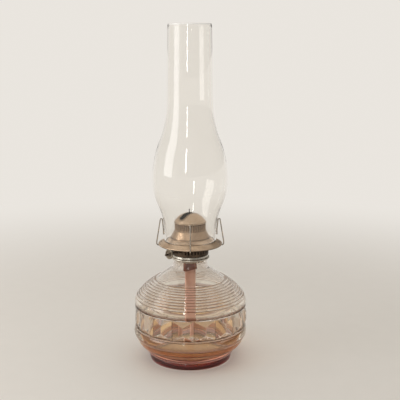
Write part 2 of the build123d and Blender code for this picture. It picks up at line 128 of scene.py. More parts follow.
# Metal: patches, pits, rubbed edges, grime and turning lines
PATCH_BELOW = 0.14
PATCH_ABOVE = 0.2
SPECKS_PER_PATCH = 14
PIT_SPAN = (0.60, 0.74)
PIT_SHARE = 0.7
PIT_SHADE = 0.45
RUBBED_CREASE = (0.05, 0.30)
RUBBED_SHARE = 0.55
RUBBED_SHADE = 1.5
GRIME_START = 1 / 6
GRIME_SHARE = 0.85
GRIME_SHADE = 0.4
TURNING_LINES = 2600.0
WORN_LINES = 0.4
WORN_SPAN = (0.1, 0.9)
RELIEF_SPECKS = 0.5
METAL_RELIEF = 0.03 * MM

# Gallery and deflector: painted shade under the brim's rolled edge, the darkening below the dome and the
# soot round the slot
UNDERSIDE_SHARE = 0.85
BELOW_DOME_FADE = 1.5 * MM
BELOW_DOME_SHARE = 0.6
BAND_DARKENING = (-1.0 * MM, 4.0 * MM)
BAND_SHADE = 0.5
SOOT_SCALE = 160.0
SOOT_DRIFT = 1.2 * MM
SOOT_SHARE = 0.8
SOOT_FOOT = 4.0 * MM

# Plaster and cotton
PLASTER_GRAIN = 900.0
PLASTER_CLOUDS = 120.0
PLASTER_SPAN = (0.35, 0.7)
PLASTER_SHADE = 0.7
FIBRE_SCALE = 1500.0
FIBRE_STRETCH = (1.0, 1.0, 0.25)
THREAD_CREASE = (-0.15, 0.15)
OIL_SCALE = 70.0
OIL_SPAN = (0.4, 0.7)
OIL_SHARE = 0.5
CHAR_DRIFT = 2.5 * MM
CHAR_DEPTHS = (5.5 * MM, 1.5 * MM)
FINE_RELIEF = 0.12 * MM

# Deflector's and thumbwheel's forms, and how many prongs and spur wheels there are
DEFLECTOR_LIP = 0.5 * MM
DEFLECTOR_SHEET = 0.6 * MM
DOME_CROWN = 0.7 * MM
CROWN_HOLE = 0.3 * MM
FLUTE_FADE = 1.0 * MM
FLUTE_ZONE = 1.0 * MM
PUNCH_FOOT = 0.2 * MM
HUB_RADIUS = 2.3 * MM
HUB_PROUD = 1.2 * MM
WEB_SHARE = 0.55
WHEEL_RIM = 1.5 * MM
NOTCH_ZONE = 0.5 * MM
PRONGS = 4
SPUR_WHEELS = 4

# Wick: its weave, its frayed end and its loose strand
CORD_POINTS = 6
EDGE_THIN = 0.15
OVER_SHARE = 0.4
SINK_MOST = 0.8
FRAY_DEPTH = 0.8
FRAY_SCALE = 900
STRAND_CUTS = 9
STRAND_ROOT = 2.0 * MM
STRAND_PLACE = 2.0 * MM
STRAND_RADIUS = 0.7 * MM
STRAND_TAPER = 0.15 * MM
STRAND_CURL = 0.8 * MM
STRAND_CURL_TURN = 2.2
STRAND_LEAN = 0.5 * MM
STRAND_WAVE = 0.5 * MM
STRAND_WAVE_TURN = 4.0

# Stage: how far the lights stand to the left of the camera, the room's lit side, and the floor
WINDOW_LEFT = math.radians(72)
STRIP_LEFT = math.radians(13)
LIT_SIDE = (-0.45, 0.45, 0.9)
LIT_SPAN = (0.0, 0.7)
FLOOR_RADIUS = 60.0
FLOOR_NEAR = 0.30
FLOOR_FAR = 1.10
FLOOR_GRAIN = 40.0
FLOOR_MOTTLE = 0.25
FLOOR_SHADE = 0.94

# Heights and places that the frame gives
font_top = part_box("font_glass")[1].z
chimney_low, chimney_high = (corner.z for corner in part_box("chimney_glass"))
chimney_belly_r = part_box("chimney_glass")[1].x
collar_low, collar_high = (corner.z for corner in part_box("neck_collar"))
gallery_low, gallery_high = (corner.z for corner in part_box("gallery_ring"))
gallery_rim_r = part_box("gallery_ring")[1].x
cup_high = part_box("burner_cup")[1].z
cup_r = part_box("burner_cup")[1].x
wick_low, wick_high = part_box("wick")
thumb_low, thumb_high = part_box("thumbwheel")
spindle_r = (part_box("raiser_spindle")[1].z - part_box("raiser_spindle")[0].z) / 2


def length(name, description, millimetres):
    """A size in metres, written in millimetres."""
    return FloatProperty(
        name=name, description=description, default=millimetres * MM,
        subtype="DISTANCE", unit="LENGTH", precision=5,
    )


def turn(name, description, degrees):
    """An angle in radians, written in degrees."""
    return FloatProperty(
        name=name, description=description, default=math.radians(degrees),
        subtype="ANGLE", unit="ROTATION",
    )


def count(name, description, number):
    """A whole number of like things."""
    return IntProperty(name=name, description=description, default=number, min=1)


def share(name, description, value):
    """A plain number."""
    return FloatProperty(
        name=name, description=description, default=value,
        min=0.0, soft_max=1.0, subtype="FACTOR",
    )


def power(name, description, watts):
    """A lamp's power."""
    return FloatProperty(name=name, description=description, default=watts, min=0.0, unit="POWER")


def colour(name, description, red, green, blue):
    """A linear colour."""
    return FloatVectorProperty(
        name=name, description=description, default=(red, green, blue),
        size=3, min=0.0, max=1.0, subtype="COLOR",
    )


class FontProps(PropertyGroup):
    """Sizes and colours of the pressed glass font."""

    foot_height: length("Foot height", "Height of the foot ring", 8.5)
    ring_height: length("Ring height", "Height of the ring above the foot", 7.5)
    sill_height: length("Sill height", "Height of the wide roll under the body", 13.5)
    roll_height: length("Roll height", "Height of the roll under the blocks", 14.0)
    bead_height: length("Bead height", "Height of the thin beads above and below the blocks", 1.6)
    block_height: length("Block height", "Height of the band of blocks", 25.8)
    crown_height: length("Crown height", "Height of the roll above the blocks", 11.0)
    rib_height: length("Rib height", "Height of the ribbed zone", 22.5)
    shoulder_height: length("Shoulder height", "Height of the plain shoulder", 16.8)
    foot_radius: length("Foot radius", "Radius of the foot", 52.5)
    ring_radius: length("Ring radius", "Radius at the top of the ring", 57.5)
    sill_radius: length("Sill radius", "Radius at the top of the sill", 69.5)
    roll_radius: length("Roll radius", "Radius of the roll and the beads", 71.5)
    crown_radius: length("Crown radius", "Radius of the crown", 70.5)
    rib_radius: length("Rib radius", "Radius where the ribs end", 45.5)
    neck_radius: length("Neck radius", "Outer radius of the neck", 21.5)
    bore_radius: length("Bore radius", "Inner radius of the neck", 17.6)
    ribs: count("Ribs", "Number of ribs round the shoulder", 9)
    blocks: count("Blocks", "Number of hip-roofed blocks", 16)
    block_turn: turn("Block turn", "Direction of the first valley between blocks", 3.75)
    ridge_radius: length("Ridge radius", "Radius of a block's ridge", 73.2)
    valley_radius: length("Valley radius", "Radius of the valleys between blocks", 70.2)
    hip_height: length("Hip height", "Height of a block's sloping ends", 7.5)
    wall: length("Wall", "Thickness of the glass", 4.6)
    shoulder_wall: length("Shoulder wall", "Thickness of the glass at the shoulder", 2.4)
    floor: length("Floor", "Thickness of the glass above the foot", 6.5)
    floor_radius: length("Floor radius", "Radius of the flat floor inside", 46.0)
    foot_glass: colour("Foot glass", "Tint of the foot", 0.045, 0.001, 0.001)
    ring_glass: colour("Ring glass", "Tint of the ring above the foot", 0.92, 0.19, 0.035)
    sill_glass: colour("Sill glass", "Tint of the roll above the ring", 1.0, 0.49, 0.13)
    roll_glass: colour("Roll glass", "Tint of the roll under the blocks", 1.0, 0.83, 0.63)
    band_glass: colour("Band glass", "Tint of the blocks", 0.86, 0.73, 0.57)
    crown_glass: colour("Crown glass", "Tint of the roll above the blocks", 0.90, 0.82, 0.70)
    rib_glass: colour("Rib glass", "Tint of the ribs", 0.98, 0.935, 0.865)
    shoulder_glass: colour("Shoulder glass", "Tint of the plain shoulder", 0.94, 0.92, 0.89)
    # The neck's tint is darker than the shoulder's: painted shade under the collar.
    neck_glass: colour("Neck glass", "Tint of the neck under the collar", 0.72, 0.66, 0.61)
    inner_glass: colour("Inner glass", "Tint of the inside", 0.98, 0.97, 0.945)
    under_glass: colour("Under glass", "Tint of the underside", 0.93, 0.70, 0.44)
    # Amber is the colour of painted shade: low on each roll, in the seam under the crown and on the darker
    # block facets.
    amber: colour("Amber", "Stain low on each roll and on the dark facets", 0.28, 0.098, 0.034)
    # Groove is the colour of painted shade in the font's grooves.
    groove: colour("Groove", "Stain gathered in the grooves", 0.17, 0.08, 0.036)


class ChimneyProps(PropertyGroup):
    """Sizes and colour of the blown chimney."""

    foot_radius: length("Foot radius", "Radius of the straight foot", 33.35)
    foot_height: length("Foot height", "Height of the straight foot", 13.0)
    flare_height: length("Flare height", "Height from the foot up to the belly", 64.4)
    taper_height: length("Taper height", "Height from the belly up to the stack", 102.6)
    waist_radius: length("Waist radius", "Radius at the bottom of the stack", 28.9)
    top_radius: length("Top radius", "Radius at the top", 27.1)
    wall: length("Wall", "Thickness of the glass", 2.2)
    glass: colour("Glass", "Tint of the chimney", 0.965, 0.955, 0.935)


class BurnerProps(PropertyGroup):
    """Sizes of the burner's pressed metal."""

    sheet: length("Sheet", "Thickness of the pressed metal", 0.7)
    thread_radius: length("Thread radius", "Inner radius of the collar", 16.0)
    collar_radius: length("Collar radius", "Inner radius of the collar's skirt", 22.4)
    collar_skirt: length("Collar skirt", "Height of the collar's skirt", 5.6)
    collar_bead: length("Collar bead", "Radius of the collar's rolled bead", 1.5)
    sleeve_radius: length("Sleeve radius", "Outer radius of the gallery's sleeve", 22.85)
    step_radius: length("Step radius", "Radius of the gallery's top step", 26.2)
    seat_inner: length("Seat inner", "Inner radius of the chimney's seat", 30.15)
    seat_outer: length("Seat outer", "Outer radius of the chimney's seat", 34.35)
    rim_drop: length("Rim drop", "Fall of the brim from seat to rim", 4.4)
    rim_bead: length("Rim bead", "Radius of the brim's rolled edge", 1.1)
    prong_radius: length("Prong radius", "Distance of the prongs' holes from the axis", 37.4)
    prong_hole: length("Prong hole", "Radius of the prongs' holes", 1.0)
    skirt_radius: length("Skirt radius", "Radius at the foot of the deflector's skirt", 25.2)
    skirt_height: length("Skirt height", "Height of the deflector's skirt", 9.8)
    band_radius: length("Band radius", "Radius of the deflector's upright band", 19.9)
    band_height: length("Band height", "Height of the deflector's upright band", 10.4)
    flutes: count("Flutes", "Number of flutes round the upright band", 40)
    flute_depth: length("Flute depth", "Depth of the flutes", 0.8)
    slot_length: length("Slot length", "Length of the slot in the dome", 33.0)
    slot_width: length("Slot width", "Width of the slot in the dome", 6.4)
    notches: count("Notches", "Number of notches round the thumbwheel", 24)
    notch_depth: length("Notch depth", "Depth of the thumbwheel's notches", 0.45)


class WickProps(PropertyGroup):
    """Weave and colours of the wick."""

    cords: count("Cords", "Number of warp cords across the wick", 12)
    pick: length("Pick", "Height of one woven row", 1.6)
    rise: length("Rise", "How far a cord stands out where it passes over", 0.16)
    strand: length("Strand", "Height of the loose strand above the wick", 14.5)
    cotton: colour("Cotton", "Colour of the stained cotton", 0.70, 0.38, 0.28)
    pale_cotton: colour("Pale cotton", "Colour of the raised threads", 0.84, 0.58, 0.47)
    char: colour("Char", "Colour of the burnt end", 0.020, 0.014, 0.011)


class MetalProps(PropertyGroup):
    """Colours of the metals and the plaster."""

    brass: colour("Brass", "Satin brass of the gallery", 0.67, 0.505, 0.362)
    hood_brass: colour("Hood brass", "Satin brass of the deflector", 0.55, 0.41, 0.29)
    tarnish: colour("Tarnish", "Darker patches on the brass", 0.32, 0.21, 0.13)
    dark_brass: colour("Dark brass", "Cup, thumbwheel and spindle", 0.11, 0.078, 0.055)
    dark_tarnish: colour("Dark tarnish", "Nearly black patches on the dark brass", 0.035, 0.027, 0.021)
    plated: colour("Plated metal", "Silvery collar", 0.60, 0.56, 0.49)
    worn_plate: colour("Worn plate", "Worn patches on the collar", 0.34, 0.29, 0.225)
    wire: colour("Wire", "Spring wire of the prongs", 0.42, 0.375, 0.32)
    dull_wire: colour("Dull wire", "Stained patches on the wire", 0.08, 0.066, 0.055)
    inner_brass: colour("Inner brass", "Wick tube, bracket and spur wheels", 0.36, 0.17, 0.09)
    inner_tarnish: colour("Inner tarnish", "Stain on the inner brass", 0.20, 0.048, 0.022)
    plaster: colour("Plaster", "Cement under the collar", 0.56, 0.50, 0.42)


class StageProps(PropertyGroup):
    """Camera, light and floor."""

    camera_distance: length("Camera distance", "Level distance of the camera from the axis", 1000.0)
    camera_height: length("Camera height", "Height of the camera", 407.0)
    camera_turn: turn("Camera turn", "Direction of the camera about the axis", -45.0)
    camera_pitch: turn("Camera pitch", "How far the camera looks down", 11.2)
    camera_yaw: turn("Camera yaw", "How far the camera looks to the right of the axis", 0.72)
    lens: length("Lens", "Focal length of the lens", 72.0)
    sensor: length("Sensor", "Width of the sensor", 36.0)
    background: colour("Background", "What shows behind the lamp", 0.82, 0.785, 0.735)
    floor: colour("Floor", "Colour of the floor", 0.80, 0.77, 0.725)
    sky: share("Sky", "Strength of the soft light from all round", 0.85)
    shade_side: share("Shade side", "Strength of the room's dark side in reflections", 0.25)
    window: power("Window", "Power of the tall window on the left", 5.0)
    strip: power("Strip", "Power of the narrow light beside the camera", 3.0)


def rgba(tint, share_of=1.0):
    """A colour with full alpha, for a node's socket, made darker or lighter by a share."""
    return (*(min(1.0, part * share_of) for part in tint), 1.0)


def stained(tint, stain_and_shade, share_of=1.0):
    """A colour seen through a stain."""
    return [part * mark * share_of for part, mark in zip(tint, stain_and_shade)]


def bow(start, end, rise, points=ARC_POINTS):
    """Points after start up to end, on an arc that stands off its chord by rise, to the right of its run."""
    start, end = Vector(start), Vector(end)
    chord = (end - start).length
    along = (end - start) / chord
    right = Vector((along.y, -along.x))
    radius = (chord ** 2 / 4 + rise ** 2) / (2 * rise)
    half = math.asin(min(1.0, chord / (2 * radius)))
    centre = (start + end) / 2 + right * (rise - radius)
    places = [half * (2 * i / points - 1) for i in range(1, points + 1)]
    return [centre + radius * (right * math.cos(place) + along * math.sin(place)) for place in places]


def line(start, end, points):
    """Points after start up to end, evenly spaced on a straight run."""
    start, end = Vector(start), Vector(end)
    return [start.lerp(end, i / points) for i in range(1, points + 1)]


def ogee(start, end, points=LONG_ARC_POINTS):
    """Points after start up to end, on two equal arcs that are upright at both ends."""
    half_rise, half_out = (end[1] - start[1]) / 2, (end[0] - start[0]) / 2
    radius = (half_rise ** 2 + half_out ** 2) / (2 * abs(half_out))
    side = math.copysign(1.0, half_out)
    reach = math.asin(half_rise / radius)
    first = []
    for i in range(points + 1):
        place = reach * i / points
        first.append(Vector((side * radius * (1 - math.cos(place)), radius * math.sin(place))))
    whole = Vector((2 * half_out, 2 * half_rise))
    second = [whole - point for point in reversed(first[:-1])]
    return [Vector(start) + point for point in first[1:] + second]


def fillet(before, corner, after, radius, points=ARC_POINTS):
    """Points of the arc that rounds a corner between two straight runs."""
    before, corner, after = Vector(before), Vector(corner), Vector(after)
    back, ahead = (before - corner).normalized(), (after - corner).normalized()
    half = back.angle(ahead) / 2
    centre = corner + (back + ahead).normalized() * radius / math.sin(half)
    first = corner + back * radius / math.tan(half) - centre
    last = corner + ahead * radius / math.tan(half) - centre
    sweep = math.pi - 2 * half
    made = []
    for i in range(points + 1):
        reach = first * math.sin(sweep * (1 - i / points)) + last * math.sin(sweep * i / points)
        made.append(centre + reach / math.sin(sweep))
    return made


def round_bead(centre, radius, first, last, points):
    """Points of a rolled edge about its centre, from one direction to another in degrees."""
    places = [math.radians(first + (last - first) * i / points) for i in range(points + 1)]
    return [Vector(centre) + radius * Vector((math.cos(place), math.sin(place))) for place in places]


def only(kind, parts):
    """The parts of a mesh that are of one kind."""
    return [part for part in parts if isinstance(part, kind)]


def lathe(outline, steps, closed=True):
    """A mesh turned about Z from its outline, which ends on the axis where it isn't closed."""
    bm = bmesh.new()
    corners = [bm.verts.new((radius, 0.0, height)) for radius, height in outline]
    pairs = list(zip(corners, corners[1:]))
    if closed:
        pairs.append((corners[-1], corners[0]))
    edges = [bm.edges.new(pair) for pair in pairs]
    sector = 2 * math.pi / SECTORS
    bmesh.ops.spin(
        bm, geom=corners + edges, cent=(0, 0, 0), axis=(0, 0, 1), angle=sector, steps=steps // SECTORS,
        use_merge=False, use_duplicate=False,
    )
    first = bm.verts[:] + bm.edges[:] + bm.faces[:]
    for i in range(1, SECTORS):
        verts = only(bmesh.types.BMVert, bmesh.ops.duplicate(bm, geom=first)["geom"])
        bmesh.ops.rotate(bm, verts=verts, cent=(0, 0, 0), matrix=Matrix.Rotation(i * sector, 3, "Z"))
    bmesh.ops.remove_doubles(bm, verts=bm.verts, dist=FIT)
    bmesh.ops.recalc_face_normals(bm, faces=bm.faces)
    return bm


def soften(bm, width, least_turn, segments=2):
    """Rounds every edge where the surface turns by more than that, in degrees."""
    sharp = math.radians(least_turn)
    edges = [edge for edge in bm.edges if edge.is_manifold and edge.calc_face_angle() > sharp]
    bmesh.ops.bevel(
        bm, geom=edges, offset=width, offset_type="OFFSET", segments=segments, profile=0.5,
        affect="EDGES", clamp_overlap=True, material=-1,
    )


def mark_creases(bm):
    """Stores how sharply each point stands out, above 0, or lies in a groove, below 0."""
    bm.normal_update()
    layer = bm.verts.layers.float.new("crease")
    for vert in bm.verts:
        runs = [(edge.other_vert(vert).co - vert.co).normalized() for edge in vert.link_edges]
        vert[layer] = -sum(run.dot(vert.normal) for run in runs) / max(1, len(runs))


def mark_sharp(edges, least_turn):
    """Keeps the shading crisp on edges where the surface turns by more than that."""
    for edge in edges:
        if edge.is_manifold and edge.calc_face_angle() > least_turn:
            edge.smooth = False


def as_object(bm, name):
    """An object in the scene, made from a mesh that is then let go."""
    mesh = bpy.data.meshes.new(name)
    bm.to_mesh(mesh)
    bm.free()
    made = bpy.data.objects.new(name, mesh)
    bpy.context.scene.collection.objects.link(made)
    return made


def piece(bm, name, material, body, slot, *nodes, sharp=50):
    """A finished piece from its mesh: shaded, marked, riding on its body and standing for its nodes."""
    mark_creases(bm)
    for face in bm.faces:
        face.smooth = True
    mark_sharp(bm.edges, math.radians(sharp))
    made = as_object(bm, name)
    made.data.materials.append(material)
    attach(made, body)
    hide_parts(*nodes)
    return made


def carve(bm, tool):
    """The first mesh with the second one cut out of it."""
    carved, carver = as_object(bm, "carved"), as_object(tool, "carver")
    cut = carved.modifiers.new("cut", "BOOLEAN")
    cut.operation, cut.solver, cut.object = "DIFFERENCE", "EXACT", carver
    result = bmesh.new()
    result.from_object(carved, bpy.context.evaluated_depsgraph_get())
    for spent in (carved, carver):
        mesh = spent.data
        bpy.data.objects.remove(spent)
        bpy.data.meshes.remove(mesh)
    return result


class Nodes:
    """One node tree, with short calls for the nodes that it needs."""

    def __init__(self, owner):
        owner.use_nodes = True
        self.tree = owner.node_tree
        self.tree.nodes.clear()

    def node(self, kind, inputs=None, **settings):
        """A node with its settings made and its sockets set or linked."""
        made = self.tree.nodes.new("ShaderNode" + kind)
        for name, value in settings.items():
            setattr(made, name, value)
        for socket, value in (inputs or {}).items():
            if isinstance(value, bpy.types.NodeSocket):
                self.tree.links.new(value, made.inputs[socket])
            else:
                made.inputs[socket].default_value = value
        return made

    def sum(self, operation, first, second=0.0):
        """One step of arithmetic."""
        return self.node("Math", {0: first, 1: second}, operation=operation).outputs[0]

    def span(self, value, low, high, to_low=0.0, to_high=1.0, **settings):
        """A value moved from one span to another, and held within it."""
        sockets = {"Value": value, "From Min": low, "From Max": high, "To Min": to_low, "To Max": to_high}
        return self.node("MapRange", sockets, **settings).outputs[0]

    def blend(self, factor, first, second):
        """Two numbers mixed."""
        return self.node("Mix", {0: factor, 2: first, 3: second}).outputs[0]


class Finish(Nodes):
    """One material's nodes."""

    def __init__(self, name):
        self.material = bpy.data.materials.new(name)
        super().__init__(self.material)
        self.place = self.node("TexCoord").outputs["Object"]
        self.axes = self.node("SeparateXYZ", {"Vector": self.place}).outputs

    def mix(self, factor, first, second, blend="MIX"):
        """Two colours mixed."""
        sockets = {0: factor, 6: first, 7: second}
        return self.node("Mix", sockets, data_type="RGBA", blend_type=blend).outputs[2]

    def ramp(self, factor, stops):
        """A colour from a row of (place, colour) stops."""
        made = self.node("ValToRGB", {"Fac": factor})
        row = made.color_ramp.elements
        while len(row) < len(stops):
            row.new(1.0)
        for element, (place, tint) in zip(row, stops):
            element.position = place
            element.color = rgba(tint)
        return made.outputs["Color"]

    def noise(self, scale, detail=3.0, rough=0.5, place=None, distortion=0.0):
        """Cloudy noise, in features per metre."""
        sockets = {
            "Vector": place or self.place, "Scale": scale, "Detail": detail, "Roughness": rough,
            "Distortion": distortion,
        }
        return self.node("TexNoise", sockets).outputs["Fac"]

    def drift(self, cloud, reach):
        """A noise's value made a small shift to either side of 0."""
        return self.span(cloud, *NOISE_SPAN, -reach, reach)

    def distance(self, first, second):
        """How far two lengths at right angles reach together."""
        squares = [self.sum("MULTIPLY", part, part) for part in (first, second)]
        return self.sum("SQRT", self.sum("ADD", *squares))

    def turned(self):
        """Coordinates for marks left by turning: radius, height, and hardly any direction."""
        radius = self.distance(self.axes[0], self.axes[1])
        around = self.sum("MULTIPLY", self.sum("ARCTAN2", self.axes[1], self.axes[0]), TURN_SQUEEZE)
        return self.node("CombineXYZ", {0: radius, 1: self.axes[2], 2: around}).outputs[0]

    def stored(self, name):
        """A value that the mesh stores at its points."""
        return self.node("Attribute", attribute_name=name).outputs["Fac"]

    def bump(self, height, distance):
        """A normal raised by a height."""
        sockets = {"Height": height, "Distance": distance, "Strength": 1.0}
        return self.node("Bump", sockets).outputs[0]

    def surface(self, sockets):
        """The main shader, with its sockets set or linked."""
        return self.node("BsdfPrincipled", sockets).outputs[0]

    def done(self, shader):
        """The material, with that shader as its surface."""
        self.node("OutputMaterial", {"Surface": shader})
        return self.material


def glass_finish(name, tint, ripple, ripple_scale, smear, clear=None):
    """Glass that lets lamps through: tint is a colour or makes one from the nodes, and clear may dull it."""
    finish = Finish(name)
    if callable(tint):
        shade = tint(finish)
        thin = finish.mix(GLASS_LIFT, shade, rgba((1.0, 1.0, 1.0)))
    else:
        shade = rgba(tint)
        thin = rgba([part + GLASS_LIFT * (1 - part) for part in tint])
    waves = finish.noise(ripple_scale, detail=1.0)
    film = finish.noise(FILM_SCALE, detail=4.0, rough=0.6)
    body = finish.surface({
        "Base Color": shade,
        "Roughness": finish.span(film, *FILM_SPAN, 0.0, smear),
        "IOR": 1.5,
        "Transmission Weight": clear(finish) if clear else 1.0,
        "Normal": finish.bump(waves, ripple),
    })
    open_way = finish.node("BsdfTransparent", {"Color": thin}).outputs[0]
    lamp_ray = finish.node("LightPath").outputs["Is Shadow Ray"]
    return finish.done(finish.node("MixShader", {0: lamp_ray, 1: body, 2: open_way}).outputs[0])


def font_tint(font):
    """A function that tints the font by height, with painted shade low on each roll, in the grooves and
    under the crown, painted light and shade on the blocks, and painted highlights on edges.
    """
    at = font_levels(font)
    rolls = [
        (font.foot_height, font.ring_height, font.ring_glass, RING_SHADE),
        (at.sill, font.sill_height, font.sill_glass, SILL_SHADE),
        (at.roll, font.roll_height, font.roll_glass, ROLL_SHADE),
    ]
    stops = [(FOOT_CLEAR * font.foot_height, font.foot_glass)]
    # Each roll's lower part is painted darker with amber and its upper part lighter: painted shade.
    for low, height, tint, (dark_to, clear_from) in rolls:
        dark = stained(tint, font.amber)
        places = (ROLL_GAP, dark_to, clear_from, 1 - ROLL_GAP)
        stops += [(low + height * place, shade) for place, shade in zip(places, (dark, dark, tint, tint))]
    # The seam under the crown is darkened with amber: painted shadow.
    seam = stained(font.crown_glass, font.amber, SEAM_SHADE)
    stops += [
        (at.block_low, font.band_glass),
        (at.block_high, font.band_glass),
        (at.crown - CROWN_UNDERCUT, seam),
        (at.crown + SEAM, seam),
        (at.crown + 2 * SEAM, font.crown_glass),
        (at.rib, font.rib_glass),
        (at.shoulder, font.shoulder_glass),
        # Darker at the neck: painted shade under the collar.
        (at.neck - NECK_FILLET, font.shoulder_glass),
        (at.neck, font.neck_glass),
    ]
    stops = [(height / font_top, tint) for height, tint in stops]

    def make(finish):
        height = finish.span(finish.axes[2], 0.0, font_top)
        cloud = finish.drift(finish.noise(TINT_CLOUDS), TINT_DRIFT)
        shade = finish.ramp(finish.sum("ADD", height, cloud), stops)
        # Block faces are lifted towards the shoulder's tint or darkened with amber: painted light and shade.
        facet_light, crease = finish.stored("facet_light"), finish.stored("crease")
        lit = finish.span(facet_light, 0.0, 1.0, 0.0, FACET_LIGHT)
        shade = finish.mix(lit, shade, rgba(font.shoulder_glass))
        stain_and_shade = finish.mix(1.0, shade, rgba(font.amber), "MULTIPLY")
        shade = finish.mix(finish.span(facet_light, 0.0, -1.0, 0.0, FACET_SHADE), shade, stain_and_shade)
        # Points that stand out are painted lighter: painted highlights on edges.
        edge = finish.span(crease, *EDGE_CREASE, 0.0, EDGE_HIGHLIGHT)
        shade = finish.mix(edge, shade, rgba(font.inner_glass))
        # Points in grooves are darkened with the groove colour: painted shade.
        stain_and_shade = finish.mix(1.0, shade, rgba(font.groove), "MULTIPLY")
        shade = finish.mix(finish.span(crease, *GROOVE_CREASE), shade, stain_and_shade)
        above = finish.span(finish.axes[2], 2 * FOOT_DISH, 3 * FOOT_DISH)
        inside = finish.mix(above, rgba(font.under_glass), rgba(font.inner_glass))
        return finish.mix(finish.stored("outside"), inside, shade)

    return make


def metal_finish(name, bright, dull, rough, patch=60.0, patch_level=0.5, grime_depth=0.3, over=None):
    """Old spun metal: dull patches, grime in grooves, rubbed edges, fine lines and any stain over them."""
    finish = Finish(name)
    cloud = finish.noise(patch, detail=6.0, rough=0.62, distortion=0.4)
    specks = finish.noise(patch * SPECKS_PER_PATCH, rough=0.7)
    lines = finish.noise(TURNING_LINES, detail=2.0, place=finish.turned())
    crease = finish.stored("crease")
    dulled = finish.span(cloud, patch_level - PATCH_BELOW, patch_level + PATCH_ABOVE)
    shade = finish.mix(dulled, rgba(bright), rgba(dull))
    pitted = finish.span(specks, *PIT_SPAN, 0.0, PIT_SHARE)
    shade = finish.mix(pitted, shade, rgba(dull, PIT_SHADE))
    rubbed = finish.span(crease, *RUBBED_CREASE, 0.0, RUBBED_SHARE)
    shade = finish.mix(rubbed, shade, rgba(bright, RUBBED_SHADE))
    if over:
        shade = over(finish, shade)
    grime_and_shade = finish.span(crease, -grime_depth * GRIME_START, -grime_depth, 0.0, GRIME_SHARE)
    worn = finish.blend(WORN_LINES, dulled, lines)
    return finish.done(finish.surface({
        "Base Color": finish.mix(grime_and_shade, shade, rgba(dull, GRIME_SHADE)),
        "Metallic": 1.0,
        "Roughness": finish.span(worn, *WORN_SPAN, *rough),
        "Normal": finish.bump(finish.blend(RELIEF_SPECKS, lines, specks), METAL_RELIEF),
    }))


def soot(burner, char, tarnish):
    """A function that darkens the deflector below its dome, more on its upright band, and blackens the dome
    round its slot.
    """
    _, skirt_top, dome_foot, _ = deflector_levels(burner)
    reach = (burner.slot_length - burner.slot_width) / 2

    def make(finish, shade):
        x, y, height = finish.axes
        # Darker below the dome, and darker still on the upright band.
        below = finish.span(height, dome_foot, dome_foot - BELOW_DOME_FADE, 0.0, BELOW_DOME_SHARE)
        shade = finish.mix(below, shade, rgba(tarnish))
        band = finish.span(height, *(skirt_top + edge for edge in BAND_DARKENING))
        shade = finish.mix(finish.sum("MULTIPLY", below, band), shade, rgba(tarnish, BAND_SHADE))
        past_end = finish.sum("SUBTRACT", finish.sum("ABSOLUTE", x), reach)
        away = finish.distance(finish.sum("MAXIMUM", past_end, 0.0), y)
        away = finish.sum("ADD", away, finish.drift(finish.noise(SOOT_SCALE), SOOT_DRIFT))
        near = finish.span(away, burner.slot_width / 2, burner.slot_width, SOOT_SHARE, 0.0)
        high = finish.span(height, dome_foot, dome_foot + SOOT_FOOT)
        return finish.mix(finish.sum("MULTIPLY", near, high), shade, rgba(char))

    return make


def shaded_underside(burner, grime_and_shade):
    """A function that darkens the gallery below the rolled edge of its brim: painted shade."""
    rim_z = chimney_low - burner.rim_drop - burner.sheet / 2
    fade = burner.rim_bead / 3

    def make(finish, shade):
        under = finish.span(finish.axes[2], rim_z + fade, rim_z - fade, 0.0, UNDERSIDE_SHARE)
        return finish.mix(under, shade, rgba(grime_and_shade))

    return make


def ground_lip(chimney):
    """A function that dulls the chimney's top edge, where it was ground."""
    low = chimney_high - chimney.wall

    def make(finish):
        return finish.span(finish.axes[2], low, low + chimney.wall / 2, 1.0, LIP_CLEAR)

    return make


def plaster_finish(name, tint):
    """Chalky plaster."""
    finish = Finish(name)
    grain = finish.noise(PLASTER_GRAIN, detail=5.0, rough=0.7)
    stain_and_shade = finish.span(finish.noise(PLASTER_CLOUDS), *PLASTER_SPAN)
    return finish.done(finish.surface({
        "Base Color": finish.mix(stain_and_shade, rgba(tint), rgba(tint, PLASTER_SHADE)),
        "Roughness": 0.92,
        "Normal": finish.bump(grain, FINE_RELIEF),
    }))


def cotton_finish(name, wick):
    """Woven cotton, stained by oil and burnt at its top."""
    finish = Finish(name)
    along = finish.node("Mapping", {"Vector": finish.place, "Scale": FIBRE_STRETCH}).outputs[0]
    fibres = finish.noise(FIBRE_SCALE, detail=4.0, rough=0.7, place=along)
    stain_and_shade = finish.noise(OIL_SCALE, detail=4.0)
    raised = finish.span(finish.stored("crease"), *THREAD_CREASE)
    shade = finish.mix(raised, rgba(wick.cotton), rgba(wick.pale_cotton))
    oily = finish.span(stain_and_shade, *OIL_SPAN, 0.0, OIL_SHARE)
    shade = finish.mix(oily, shade, rgba(wick.cotton), "MULTIPLY")
    edge = finish.sum("ADD", finish.axes[2], finish.drift(stain_and_shade, CHAR_DRIFT))
    burnt = finish.span(edge, *(wick_high.z - depth for depth in CHAR_DEPTHS))
    return finish.done(finish.surface({
        "Base Color": finish.mix(burnt, shade, rgba(wick.char)),
        "Roughness": 0.88,
        "Sheen Weight": 0.25,
        "Normal": finish.bump(fibres, FINE_RELIEF),
    }))


class LAMP_OT_font(Operator):
    """Press the glass font with its rolls, blocks, ribs and neck"""

    bl_idname = "lamp.font"
    bl_label = "Font"

    def execute(self, context):
        font = context.scene.lamp_font
        bm = lathe(font_outline(font), font.blocks * BLOCK_STEPS, closed=False)
        press_blocks(bm, font)
        mark_skin(bm)
        finish = glass_finish(
            "pressed_glass", font_tint(font), ripple=0.25 * MM, ripple_scale=55.0, smear=0.05,
        )
        piece(bm, "pressed_font", finish, "font", "font_glass", "font_glass", sharp=75)
        return {"FINISHED"}


FontLevels = namedtuple("FontLevels", "sill roll block_low block_high crown rib shoulder neck")


